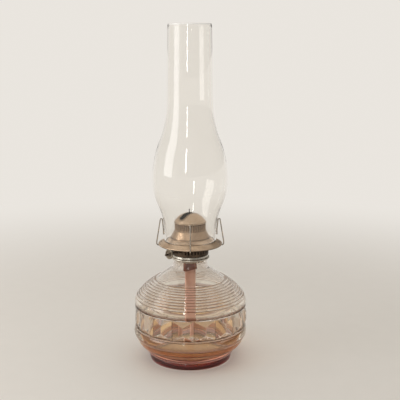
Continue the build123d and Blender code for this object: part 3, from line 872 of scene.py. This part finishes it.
def font_levels(font):
    """Heights where the font's forms begin, and where its blocks end."""
    sill = font.foot_height + font.ring_height
    roll = sill + font.sill_height
    block_low = roll + font.roll_height + font.bead_height
    block_high = block_low + font.block_height
    crown = block_high + font.bead_height
    rib = crown + font.crown_height
    shoulder = rib + font.rib_height
    neck = shoulder + font.shoulder_height
    return FontLevels(sill, roll, block_low, block_high, crown, rib, shoulder, neck)


def font_outline(font):
    """The font from the middle of its underside, up its outside, over the neck and down to its floor."""
    at = font_levels(font)
    foot_r, roll_r, neck_r = font.foot_radius, font.roll_radius, font.neck_radius
    points = [(0, FOOT_DISH)]
    points += line(points[-1], (foot_r - FOOT_LAND, 0), FLOOR_POINTS)
    points += line(points[-1], (foot_r, 0), FLOOR_POINTS // 2)
    points += bow(points[-1], (foot_r, font.foot_height), FONT_SWELLS["foot"])
    points += bow(points[-1], (font.ring_radius, at.sill), FONT_SWELLS["ring"])
    points += bow(points[-1], (font.sill_radius, at.roll), FONT_SWELLS["sill"])
    points += bow(points[-1], (roll_r, at.block_low - font.bead_height), FONT_SWELLS["roll"])
    points += bow(points[-1], (roll_r, at.block_low), font.bead_height / 2, RIB_POINTS)
    points += [(font.valley_radius, at.block_low + row) for row in block_rows(font)]
    points += [(roll_r, at.block_high)]
    points += bow(points[-1], (roll_r, at.crown), font.bead_height / 2, RIB_POINTS)
    points += [(font.crown_radius - CROWN_GROOVE, at.crown - CROWN_UNDERCUT)]
    points += bow(points[-1], (font.crown_radius, at.rib), FONT_SWELLS["crown"])
    zone = [points[-1]] + bow(points[-1], (font.rib_radius, at.shoulder), RIB_ZONE_SWELL, font.ribs)
    for start, end in zip(zone, zone[1:]):
        points += bow(start, end, RIB_SWELL, RIB_POINTS)
    bend = fillet(points[-1], (neck_r, at.neck), (neck_r, font_top), NECK_FILLET)
    points += line(points[-1], bend[0], SHOULDER_ROWS) + bend[1:]
    points += [(neck_r, font_top - LIP_ROUND), (neck_r - LIP_ROUND, font_top)]
    return points + cavity_outline(font, at)


def cavity_outline(font, at):
    """The font's inside, from the neck's top down to the middle of the floor."""
    slope = math.atan2(font.shoulder_height, font.rib_radius - font.neck_radius)
    rib_end = Vector((
        font.rib_radius - font.shoulder_wall * math.sin(slope),
        at.shoulder - font.shoulder_wall * math.cos(slope),
    ))
    bore, floor_z = font.bore_radius, font.foot_height + font.floor
    wall_r = font.valley_radius - font.wall
    neck_z = rib_end.y + (rib_end.x - bore) * math.tan(slope)
    points = [(bore + LIP_ROUND, font_top), (bore, font_top - LIP_ROUND)]
    points += fillet((bore, font_top), (bore, neck_z), rib_end, NECK_FILLET)
    points += [rib_end]
    points += bow(rib_end, (wall_r, at.rib - font.wall), -RIB_ZONE_SWELL)
    points += line(points[-1], (wall_r, at.block_low - font.bead_height), ARC_POINTS)
    points += bow(points[-1], (font.floor_radius, floor_z), -BOWL_SWELL)
    return points + line(points[-1], (0, floor_z), FLOOR_POINTS)


def block_rows(font):
    """Heights of the band's rows: each hip's edge crosses one row at each step round the axis."""
    half = math.pi / font.blocks
    steps = BLOCK_STEPS // 2
    rows = [hip_height(font, half * (1 - i / steps)) for i in range(steps + 1)]
    quarters = [font.block_height * i / 4 for i in (1, 2, 3)]
    middle = [row for row in quarters if rows[-1] < row < font.block_height - rows[-1]]
    return rows + middle + [font.block_height - row for row in reversed(rows)]


def side_radius(font, off):
    """Radius of a block's sides, in a direction off its ridge."""
    half = math.pi / font.blocks
    ridge, valley = font.ridge_radius, font.valley_radius
    return ridge * valley * math.sin(half) / (ridge * math.sin(off) + valley * math.sin(half - off))


def hip_height(font, off):
    """Height above the band's edge at which a hip meets a side, in a direction off the ridge."""
    chord = font.valley_radius * math.cos(math.pi / font.blocks)
    out = side_radius(font, off) * math.cos(off) - chord
    return font.hip_height * out / (font.ridge_radius - chord)


def press_blocks(bm, font):
    """Presses the band into hip-roofed blocks, with an edge along each hip, and stores the painted light and
    shade of each block face.
    """
    bmesh.ops.rotate(bm, verts=bm.verts, cent=(0, 0, 0), matrix=Matrix.Rotation(font.block_turn, 3, "Z"))
    at = font_levels(font)
    low, high = at.block_low, at.block_high
    span = 2 * math.pi / font.blocks
    chord = font.valley_radius * math.cos(span / 2)
    ridge_rise = font.ridge_radius - chord
    layer = bm.verts.layers.float.new("facet_light")
    band, hips = [], []
    for vert in bm.verts:
        radius = vert.co.xy.length
        if low - FIT < vert.co.z < high + FIT and abs(radius - font.valley_radius) < FIT:
            turned = (math.atan2(vert.co.y, vert.co.x) - font.block_turn) % span - span / 2
            rise, fall = vert.co.z - low, high - vert.co.z
            side, edge = side_radius(font, abs(turned)), hip_height(font, abs(turned))
            hip = (chord + ridge_rise * min(rise, fall) / font.hip_height) / math.cos(turned)
            vert.co.xy *= min(side, hip) / radius
            band.append(vert)
            # Upper hips are painted lighter and lower hips darker, and a block's two sides lighter and
            # darker by their direction: painted light and shade.
            if abs(min(rise, fall) - edge) < FIT:
                hips.append(vert)
            elif min(rise, fall) < edge:
                vert[layer] = 1.0 if fall < rise else -1.0
            else:
                vert[layer] = math.copysign(FACET_SIDE, turned)
    bmesh.ops.connect_verts(bm, verts=hips)
    mark_sharp({edge for vert in band for edge in vert.link_edges}, BLOCK_SHARP)


def mark_skin(bm):
    """Stores which points lie outside, from 0 to 1."""
    bm.normal_update()
    outside = bm.verts.layers.float.new("outside")
    for vert in bm.verts:
        away = vert.co.xy.normalized().dot(vert.normal.xy)
        vert[outside] = max(0.0, min(1.0, SKIN_SLOPE * away))


class LAMP_OT_chimney(Operator):
    """Blow the glass chimney with its foot, belly and stack"""

    bl_idname = "lamp.chimney"
    bl_label = "Chimney"

    def execute(self, context):
        chimney = context.scene.lamp_chimney
        outside = chimney_wall(chimney, 0.0)
        inside = chimney_wall(chimney, chimney.wall)
        lip = chimney.wall / 2
        foot_bead = bow(inside[0], outside[0], lip)[:-1]
        top_bead = bow(outside[-1], inside[-1], lip)[:-1]
        bm = lathe(outside + top_bead + inside[::-1] + foot_bead, CHIMNEY_STEPS)
        finish = glass_finish(
            "blown_glass", chimney.glass, ripple=0.12 * MM, ripple_scale=26.0, smear=0.02,
            clear=ground_lip(chimney),
        )
        piece(bm, "blown_chimney", finish, "chimney", "chimney_glass", "chimney_glass", sharp=80)
        return {"FINISHED"}


def chimney_wall(chimney, inset):
    """The chimney's wall from foot to top, drawn in by an inset, clear of the rounded ends."""
    lip = chimney.wall / 2
    foot_r = chimney.foot_radius - inset
    foot_top = chimney_low + chimney.foot_height
    belly_z = foot_top + chimney.flare_height
    waist_z = belly_z + chimney.taper_height
    points = [Vector((foot_r, chimney_low + lip))]
    points += line(points[-1], (foot_r, foot_top), points=4)
    points += ogee(points[-1], (chimney_belly_r - inset, belly_z))
    points += ogee(points[-1], (chimney.waist_radius - inset, waist_z))
    return points + line(points[-1], (chimney.top_radius - inset, chimney_high - lip), points=12)


class LAMP_OT_collar(Operator):
    """Roll the plated collar on the font's neck"""

    bl_idname = "lamp.collar"
    bl_label = "Collar"

    def execute(self, context):
        burner, metal = context.scene.lamp_burner, context.scene.lamp_metal
        sheet, bore, skirt = burner.sheet, burner.thread_radius, burner.collar_radius
        plate = collar_high - sheet
        skirt_low = collar_high - burner.collar_skirt
        bead_z = skirt_low + burner.collar_bead
        outline = [
            (skirt + sheet, collar_high), (bore, collar_high), (bore, collar_low),
            (bore + sheet, collar_low), (bore + sheet, plate), (skirt, plate), (skirt, skirt_low),
        ]
        outline += round_bead((skirt + sheet, bead_z), burner.collar_bead, first=-90, last=90, points=14)
        bm = lathe(outline, METAL_STEPS)
        soften(bm, width=0.25 * MM, least_turn=40)
        finish = metal_finish(
            "plated_metal", metal.plated, metal.worn_plate, rough=(0.24, 0.46), patch=140.0,
            patch_level=0.60,
        )
        piece(bm, "rolled_collar", finish, "font", "collar_metal", "neck_collar")
        return {"FINISHED"}


class LAMP_OT_gallery(Operator):
    """Press the brass gallery and its flame deflector"""

    bl_idname = "lamp.gallery"
    bl_label = "Gallery and deflector"

    def execute(self, context):
        burner, metal = context.scene.lamp_burner, context.scene.lamp_metal
        # The gallery's brass, with painted shade under the brim's rolled edge.
        finish = metal_finish(
            "satin_brass", metal.brass, metal.tarnish, rough=(0.26, 0.50), patch_level=0.60,
            over=shaded_underside(burner, metal.dark_tarnish),
        )
        ring = lathe(gallery_outline(burner), METAL_STEPS)
        soften(ring, width=0.2 * MM, least_turn=28)
        ring = carve(ring, prong_drills(burner))
        piece(ring, "pressed_gallery", finish, "gallery", "gallery_brass", "gallery_ring")
        finish = metal_finish(
            "fluted_brass", metal.hood_brass, metal.tarnish, rough=(0.26, 0.50), patch_level=0.60,
            grime_depth=0.09, over=soot(burner, context.scene.lamp_wick.char, metal.tarnish),
        )
        hood = lathe(deflector_outline(burner), burner.flutes * FLUTE_STEPS)
        press_flutes(hood, burner)
        hood = carve(hood, slot_punch(burner))
        piece(hood, "fluted_deflector", finish, "gallery", "gallery_brass", "flame_deflector", sharp=40)
        return {"FINISHED"}


def gallery_outline(burner):
    """Sleeve, step, seat and brim of the gallery, with the brim's edge rolled under."""
    sheet, sleeve = burner.sheet, burner.sleeve_radius
    seat_z = chimney_low
    rim = Vector((gallery_rim_r - burner.rim_bead, seat_z - burner.rim_drop - sheet / 2))
    brim = math.degrees(math.atan2(burner.rim_drop, burner.seat_outer - rim.x))
    half_sheet = math.degrees(math.asin(sheet / 2 / burner.rim_bead))
    low = [
        (sleeve - sheet, gallery_low), (sleeve, gallery_low), (sleeve, cup_high), (cup_r, cup_high),
        (cup_r, gallery_high - sheet), (burner.step_radius, gallery_high - sheet),
        (burner.seat_inner, seat_z - sheet), (burner.seat_outer, seat_z - sheet),
    ]
    high = [
        (burner.seat_outer, seat_z), (burner.seat_inner, seat_z),
        (burner.step_radius, gallery_high), (sleeve - sheet, gallery_high),
    ]
    first, last = brim + half_sheet, brim + 360 - half_sheet
    return low + round_bead(rim, burner.rim_bead, first, last, points=22) + high


def prong_drills(burner):
    """Upright drills for the prongs' holes in the brim."""
    bm = bmesh.new()
    for number in range(PRONGS):
        place = 2 * math.pi * (number + 0.5) / PRONGS
        at = (burner.prong_radius * math.cos(place), burner.prong_radius * math.sin(place), chimney_low)
        bmesh.ops.create_cone(
            bm, cap_ends=True, segments=24, radius1=burner.prong_hole, radius2=burner.prong_hole,
            depth=4 * burner.rim_drop, matrix=Matrix.Translation(at),
        )
    return bm


def deflector_levels(burner):
    """Heights of the deflector: skirt's foot, skirt's top, dome's foot and dome's top."""
    skirt_low = gallery_high + burner.sheet
    skirt_top = skirt_low + burner.skirt_height
    dome_foot = skirt_top + burner.band_height
    return skirt_low, skirt_top, dome_foot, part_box("flame_deflector")[1].z


def deflector_outline(burner):
    """The deflector's sheet, up its outside to the dome's top and back down inside."""
    skirt_low, skirt_top, dome_foot, dome_top = deflector_levels(burner)
    band, skirt, step = burner.band_radius, burner.skirt_radius, burner.step_radius
    lip, sheet = DEFLECTOR_LIP, DEFLECTOR_SHEET
    crown = dome_top + DOME_CROWN
    points = [(step, gallery_high), (step, skirt_low), (skirt, skirt_low)]
    points += line(points[-1], (band + lip, skirt_top - lip), SKIRT_POINTS)
    points += [(band, skirt_top)]
    points += line(points[-1], (band, dome_foot - 2 * lip), BAND_POINTS)
    points += [(band + lip / 2, dome_foot - 2 * lip)]
    points += bow(points[-1], (band + lip, dome_foot), lip, SKIRT_POINTS)
    points += dome_arc(band + lip, dome_foot, crown)
    points += [(CROWN_HOLE, crown), (CROWN_HOLE, crown - sheet)]
    points += dome_arc(band - sheet, dome_foot, crown - sheet)[::-1]
    points += [(band - sheet, dome_foot)]
    points += line(points[-1], (band - sheet, skirt_top), BAND_POINTS)
    points += line(points[-1], (skirt - sheet, skirt_low), SKIRT_POINTS)
    return points + [(skirt - sheet, gallery_high)]


def dome_arc(foot_r, foot_z, top_z):
    """Points of a round cap, after its foot and short of its top."""
    rise = top_z - foot_z
    ball = (foot_r ** 2 + rise ** 2) / (2 * rise)
    bulge = ball - math.sqrt(ball ** 2 - (foot_r ** 2 + rise ** 2) / 4)
    return bow((foot_r, foot_z), (0.0, top_z), bulge, DOME_POINTS)[:-1]


def press_flutes(bm, burner):
    """Presses upright flutes into the deflector's band, fading out towards its edges."""
    _, low, high, _ = deflector_levels(burner)
    for vert in bm.verts:
        inside = min(vert.co.z - low, high - 2 * DEFLECTOR_LIP - vert.co.z) / FLUTE_FADE
        radius = math.hypot(vert.co.x, vert.co.y)
        if inside > 0 and abs(radius - burner.band_radius) < FLUTE_ZONE:
            wave = 0.5 - 0.5 * math.cos(burner.flutes * math.atan2(vert.co.y, vert.co.x))
            vert.co.xy *= 1 - min(1.0, inside) * burner.flute_depth * wave / radius


def slot_punch(burner):
    """Punch with rounded ends for the slot in the dome."""
    _, _, dome_foot, dome_top = deflector_levels(burner)
    reach, radius = (burner.slot_length - burner.slot_width) / 2, burner.slot_width / 2
    foot = Matrix.Translation((0, 0, dome_foot + PUNCH_FOOT))
    bm = bmesh.new()
    bmesh.ops.create_circle(bm, cap_ends=True, segments=48, radius=radius, matrix=foot)
    for vert in bm.verts:
        vert.co.x += math.copysign(reach, vert.co.x)
    lifted = bmesh.ops.extrude_face_region(bm, geom=list(bm.faces))["geom"]
    verts = only(bmesh.types.BMVert, lifted)
    bmesh.ops.translate(bm, verts=verts, vec=(0, 0, 2 * (dome_top - dome_foot)))
    bmesh.ops.recalc_face_normals(bm, faces=bm.faces)
    return bm


class LAMP_OT_thumbwheel(Operator):
    """Turn and mill the thumbwheel"""

    bl_idname = "lamp.thumbwheel"
    bl_label = "Thumbwheel"

    def execute(self, context):
        burner, metal = context.scene.lamp_burner, context.scene.lamp_metal
        rim_r = (thumb_high.z - thumb_low.z) / 2
        half = (thumb_high.x - thumb_low.x) / 2
        face = half - HUB_PROUD
        web, web_r = WEB_SHARE * face, rim_r - WHEEL_RIM
        hub = [(spindle_r, half), (HUB_RADIUS, half), (HUB_RADIUS, web)]
        side = hub + [(web_r, web), (web_r, face), (rim_r, face)]
        outline = [(radius, -height) for radius, height in side] + side[::-1]
        bm = lathe(outline, burner.notches * NOTCH_STEPS)
        for vert in bm.verts:
            radius = math.hypot(vert.co.x, vert.co.y)
            if radius > web_r + NOTCH_ZONE:
                wave = max(0.0, math.cos(burner.notches * math.atan2(vert.co.y, vert.co.x)))
                vert.co.xy *= 1 - burner.notch_depth * wave / radius
        soften(bm, width=0.18 * MM, least_turn=40)
        upright = Matrix.Rotation(math.pi / 2, 4, "Y")
        middle = Matrix.Translation((thumb_low + thumb_high) / 2)
        bmesh.ops.transform(bm, matrix=middle @ upright, verts=bm.verts)
        finish = metal_finish(
            "dark_wheel", metal.worn_plate, metal.dark_brass, rough=(0.30, 0.55), patch=260.0,
        )
        piece(bm, "milled_thumbwheel", finish, "raiser", "dark_brass", "thumbwheel")
        return {"FINISHED"}


class LAMP_OT_wick(Operator):
    """Weave the flat cotton wick with its burnt end and loose strand"""

    bl_idname = "lamp.wick"
    bl_label = "Wick"

    def execute(self, context):
        wick = context.scene.lamp_wick
        bm = woven_tape(wick)
        add_strand(bm, wick)
        finish = cotton_finish("woven_cotton", wick)
        tape = piece(bm, "woven_wick", finish, "wick", "cotton_wick", "wick", sharp=70)
        return {"FINISHED"}


def woven_tape(wick):
    """Flat tape of upright cords that pass over and under its rows."""
    width, thick, height = wick_high - wick_low
    rows = round(height / wick.pick)
    step = height / rows
    across = wick.cords * CORD_POINTS
    bm = bmesh.new()
    ring = []
    for side in (1, -1):
        for i in range(across + 1):
            x = side * width * (i / across - 0.5)
            edge = 1 - abs(2 * i / across - 1)
            full = math.sqrt(min(1.0, edge * wick.cords / 2))
            ring.append(bm.verts.new((x, side * thick / 2 * max(EDGE_THIN, full), wick_low.z)))
    edges = [bm.edges.new(pair) for pair in zip(ring, ring[1:] + ring[:1])]
    bmesh.ops.edgeloop_fill(bm, edges=edges)
    for _ in range(2 * rows):
        made = bmesh.ops.extrude_edge_only(bm, edges=edges)["geom"]
        edges = [edge for edge in only(bmesh.types.BMEdge, made) if edge.is_boundary]
        verts = {vert for edge in edges for vert in edge.verts}
        bmesh.ops.translate(bm, verts=list(verts), vec=(0, 0, step / 2))
    bmesh.ops.edgeloop_fill(bm, edges=edges)
    bmesh.ops.remove_doubles(bm, verts=bm.verts, dist=FIT)
    for vert in bm.verts:
        place = vert.co.x * wick.cords / width
        face = math.copysign(1.0, vert.co.y)
        cord = 0.5 - 0.5 * math.cos(2 * math.pi * place)
        over = math.cos(math.pi * (vert.co.z - wick_low.z) / step) * (-1) ** math.floor(place)
        sink = wick.rise * (1 - cord * (1 - OVER_SHARE + OVER_SHARE * over * face))
        vert.co.y -= face * min(sink, abs(vert.co.y) * SINK_MOST)
        near_top = max(0.0, 1 - (wick_high.z - vert.co.z) / wick.pick)
        vert.co.z -= near_top * wick.pick * FRAY_DEPTH * abs(noise.noise(vert.co * FRAY_SCALE))
    bmesh.ops.recalc_face_normals(bm, faces=bm.faces)
    return bm


def add_strand(bm, wick):
    """A loose strand that stands up from the wick's end, thinner and bent towards its tip."""
    outline = [(0, 0)]
    for i in range(STRAND_CUTS + 1):
        outline.append((STRAND_RADIUS - STRAND_TAPER * i / STRAND_CUTS, wick.strand * i / STRAND_CUTS))
    outline.append((0, wick.strand))
    strand = lathe(outline, STRAND_STEPS, closed=False)
    for vert in strand.verts:
        height = vert.co.z / wick.strand
        curl = STRAND_CURL * math.sin(STRAND_CURL_TURN * height)
        vert.co.x += curl - STRAND_LEAN * height ** 2 - STRAND_PLACE
        vert.co.y += STRAND_WAVE * math.sin(STRAND_WAVE_TURN * height)
        vert.co.z += wick_high.z - STRAND_ROOT
    mesh = bpy.data.meshes.new("strand")
    strand.to_mesh(mesh)
    strand.free()
    bm.from_mesh(mesh)
    bpy.data.meshes.remove(mesh)


class LAMP_OT_metalwork(Operator):
    """Give the remaining solids their finishes"""

    bl_idname = "lamp.metalwork"
    bl_label = "Metalwork"

    def execute(self, context):
        metal = context.scene.lamp_metal
        dark = metal_finish(
            "dark_brass", metal.dark_brass, metal.dark_tarnish, rough=(0.28, 0.6), patch=90.0,
        )
        inner = metal_finish(
            "inner_brass", metal.inner_brass, metal.inner_tarnish, rough=(0.35, 0.6), patch=120.0,
            patch_level=0.36,
        )
        wire = metal_finish(
            "spring_wire", metal.wire, metal.dull_wire, rough=(0.12, 0.32), patch=150.0, patch_level=0.62,
        )
        finishes = {
            "burner_cup": dark, "thread_ferrule": dark, "air_diffuser": dark, "raiser_spindle": dark,
            "raiser_bracket": dark, "spindle_bush": dark, "wick_tube": inner, "vapour_vent": inner,
            "collar_cement": plaster_finish("plaster", metal.plaster),
        }
        finishes.update({f"spur_wheel_{number + 1}": inner for number in range(SPUR_WHEELS)})
        finishes.update({f"prong_{number + 1}": wire for number in range(PRONGS)})
        for node, finish in finishes.items():
            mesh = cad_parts[node].data
            mesh.materials.clear()
            mesh.materials.append(finish)
        return {"FINISHED"}


class LAMP_OT_stage(Operator):
    """Lay the floor, hang the lights and set the camera"""

    bl_idname = "lamp.stage"
    bl_label = "Stage"

    def execute(self, context):
        stage = context.scene.lamp_stage
        lay_floor(stage)
        light_room(context.scene, stage)
        set_camera(context.scene, stage)
        context.scene.view_settings.view_transform = "Standard"
        paths = context.scene.cycles
        paths.max_bounces = paths.glossy_bounces = paths.transmission_bounces = GLASS_BOUNCES
        return {"FINISHED"}


def lay_floor(stage):
    """A pale floor round the lamp that fades into the background."""
    bm = bmesh.new()
    bmesh.ops.create_circle(bm, cap_ends=True, segments=96, radius=FLOOR_RADIUS)
    floor = as_object(bm, "floor")
    finish = Finish("pale_floor")
    mottle = finish.span(finish.noise(FLOOR_GRAIN, detail=4.0), *NOISE_SPAN, 0.0, FLOOR_MOTTLE)
    shade = finish.mix(mottle, rgba(stage.floor), rgba(stage.floor, FLOOR_SHADE))
    near = finish.surface({"Base Color": shade, "Roughness": 0.55})
    far = finish.node("Emission", {"Color": rgba(stage.background), "Strength": 1.0}).outputs[0]
    away = finish.node("VectorMath", {0: finish.place}, operation="LENGTH").outputs["Value"]
    fade = finish.span(away, FLOOR_NEAR, FLOOR_FAR, interpolation_type="SMOOTHSTEP")
    floor.data.materials.append(finish.done(finish.node("MixShader", {0: fade, 1: near, 2: far}).outputs[0]))


def light_room(scene, stage):
    """Soft light from all round, a tall window on the left and a narrow light beside the camera."""
    world = bpy.data.worlds.new("room")
    scene.world = world
    nodes = Nodes(world)
    path = nodes.node("LightPath").outputs
    toward = nodes.node("TexCoord").outputs["Generated"]
    lit = nodes.node("VectorMath", {0: toward, 1: LIT_SIDE}, operation="DOT_PRODUCT").outputs["Value"]
    mirrored = nodes.span(lit, *LIT_SPAN, stage.shade_side, 1.0)
    level = nodes.blend(path["Is Glossy Ray"], stage.sky, mirrored)
    plain = nodes.sum("MAXIMUM", path["Is Camera Ray"], path["Is Transmission Ray"])
    level = nodes.blend(plain, level, 1.0)
    sky = nodes.node("Background", {"Color": rgba(stage.background), "Strength": level}).outputs[0]
    nodes.node("OutputWorld", {"Surface": sky})
    window, strip = stage.camera_turn - WINDOW_LEFT, stage.camera_turn - STRIP_LEFT
    hang_light("window", window, away=1.25, height=0.62, size=(0.75, 0.95), watts=stage.window)
    hang_light("strip", strip, away=1.7, height=0.75, size=(0.11, 0.8), watts=stage.strip)


def round_axis(direction, away, height):
    """A place at a distance from the axis, in a direction that is 0 at the front."""
    return (away * math.sin(direction), -away * math.cos(direction), height)


def hang_light(name, direction, away, height, size, watts):
    """An upright lit panel that faces the lamp."""
    lamp = bpy.data.lights.new(name, "AREA")
    lamp.shape, lamp.energy = "RECTANGLE", watts
    lamp.size, lamp.size_y = size
    panel = bpy.data.objects.new(name, lamp)
    bpy.context.scene.collection.objects.link(panel)
    panel.location = round_axis(direction, away, height)
    aim = Vector((0, 0, font_top)) - panel.location
    panel.rotation_euler = aim.to_track_quat("-Z", "Y").to_euler()


def set_camera(scene, stage):
    """The camera in the photograph's place."""
    lens = bpy.data.cameras.new("camera")
    lens.sensor_width, lens.lens = stage.sensor / MM, stage.lens / MM
    camera = bpy.data.objects.new("camera", lens)
    scene.collection.objects.link(camera)
    camera.location = round_axis(stage.camera_turn, stage.camera_distance, stage.camera_height)
    camera.rotation_euler = (math.pi / 2 - stage.camera_pitch, 0.0, stage.camera_turn - stage.camera_yaw)
    scene.camera = camera


class LAMP_PT_panel(Panel):
    """Buttons for the lamp's pieces and its stage"""

    bl_idname = "LAMP_PT_panel"
    bl_label = "Table lamp"
    bl_space_type = "VIEW_3D"
    bl_region_type = "UI"
    bl_category = "Lamp"

    def draw(self, context):
        """Lists one button for each operator."""
        for operator in OPERATORS:
            self.layout.operator(operator.bl_idname)


OPERATORS = (
    LAMP_OT_font,
    LAMP_OT_chimney,
    LAMP_OT_collar,
    LAMP_OT_gallery,
    LAMP_OT_thumbwheel,
    LAMP_OT_wick,
    LAMP_OT_metalwork,
    LAMP_OT_stage,
)
GROUPS = {
    "lamp_font": FontProps,
    "lamp_chimney": ChimneyProps,
    "lamp_burner": BurnerProps,
    "lamp_wick": WickProps,
    "lamp_metal": MetalProps,
    "lamp_stage": StageProps,
}


def register():
    """Adds the lamp's settings, operators and panel."""
    for group in (*GROUPS.values(), *OPERATORS, LAMP_PT_panel):
        bpy.utils.register_class(group)
    for name, group in GROUPS.items():
        setattr(bpy.types.Scene, name, PointerProperty(type=group))


def unregister():
    """Takes the lamp's settings, operators and panel away."""
    for name in GROUPS:
        delattr(bpy.types.Scene, name)
    for group in (LAMP_PT_panel, *reversed(OPERATORS), *reversed(GROUPS.values())):
        bpy.utils.unregister_class(group)


def main():
    """Makes every piece and the stage."""
    register()
    bpy.ops.lamp.font()
    bpy.ops.lamp.chimney()
    bpy.ops.lamp.collar()
    bpy.ops.lamp.gallery()
    bpy.ops.lamp.thumbwheel()
    bpy.ops.lamp.wick()
    bpy.ops.lamp.metalwork()
    bpy.ops.lamp.stage()


if __name__ == "__main__":
    main()
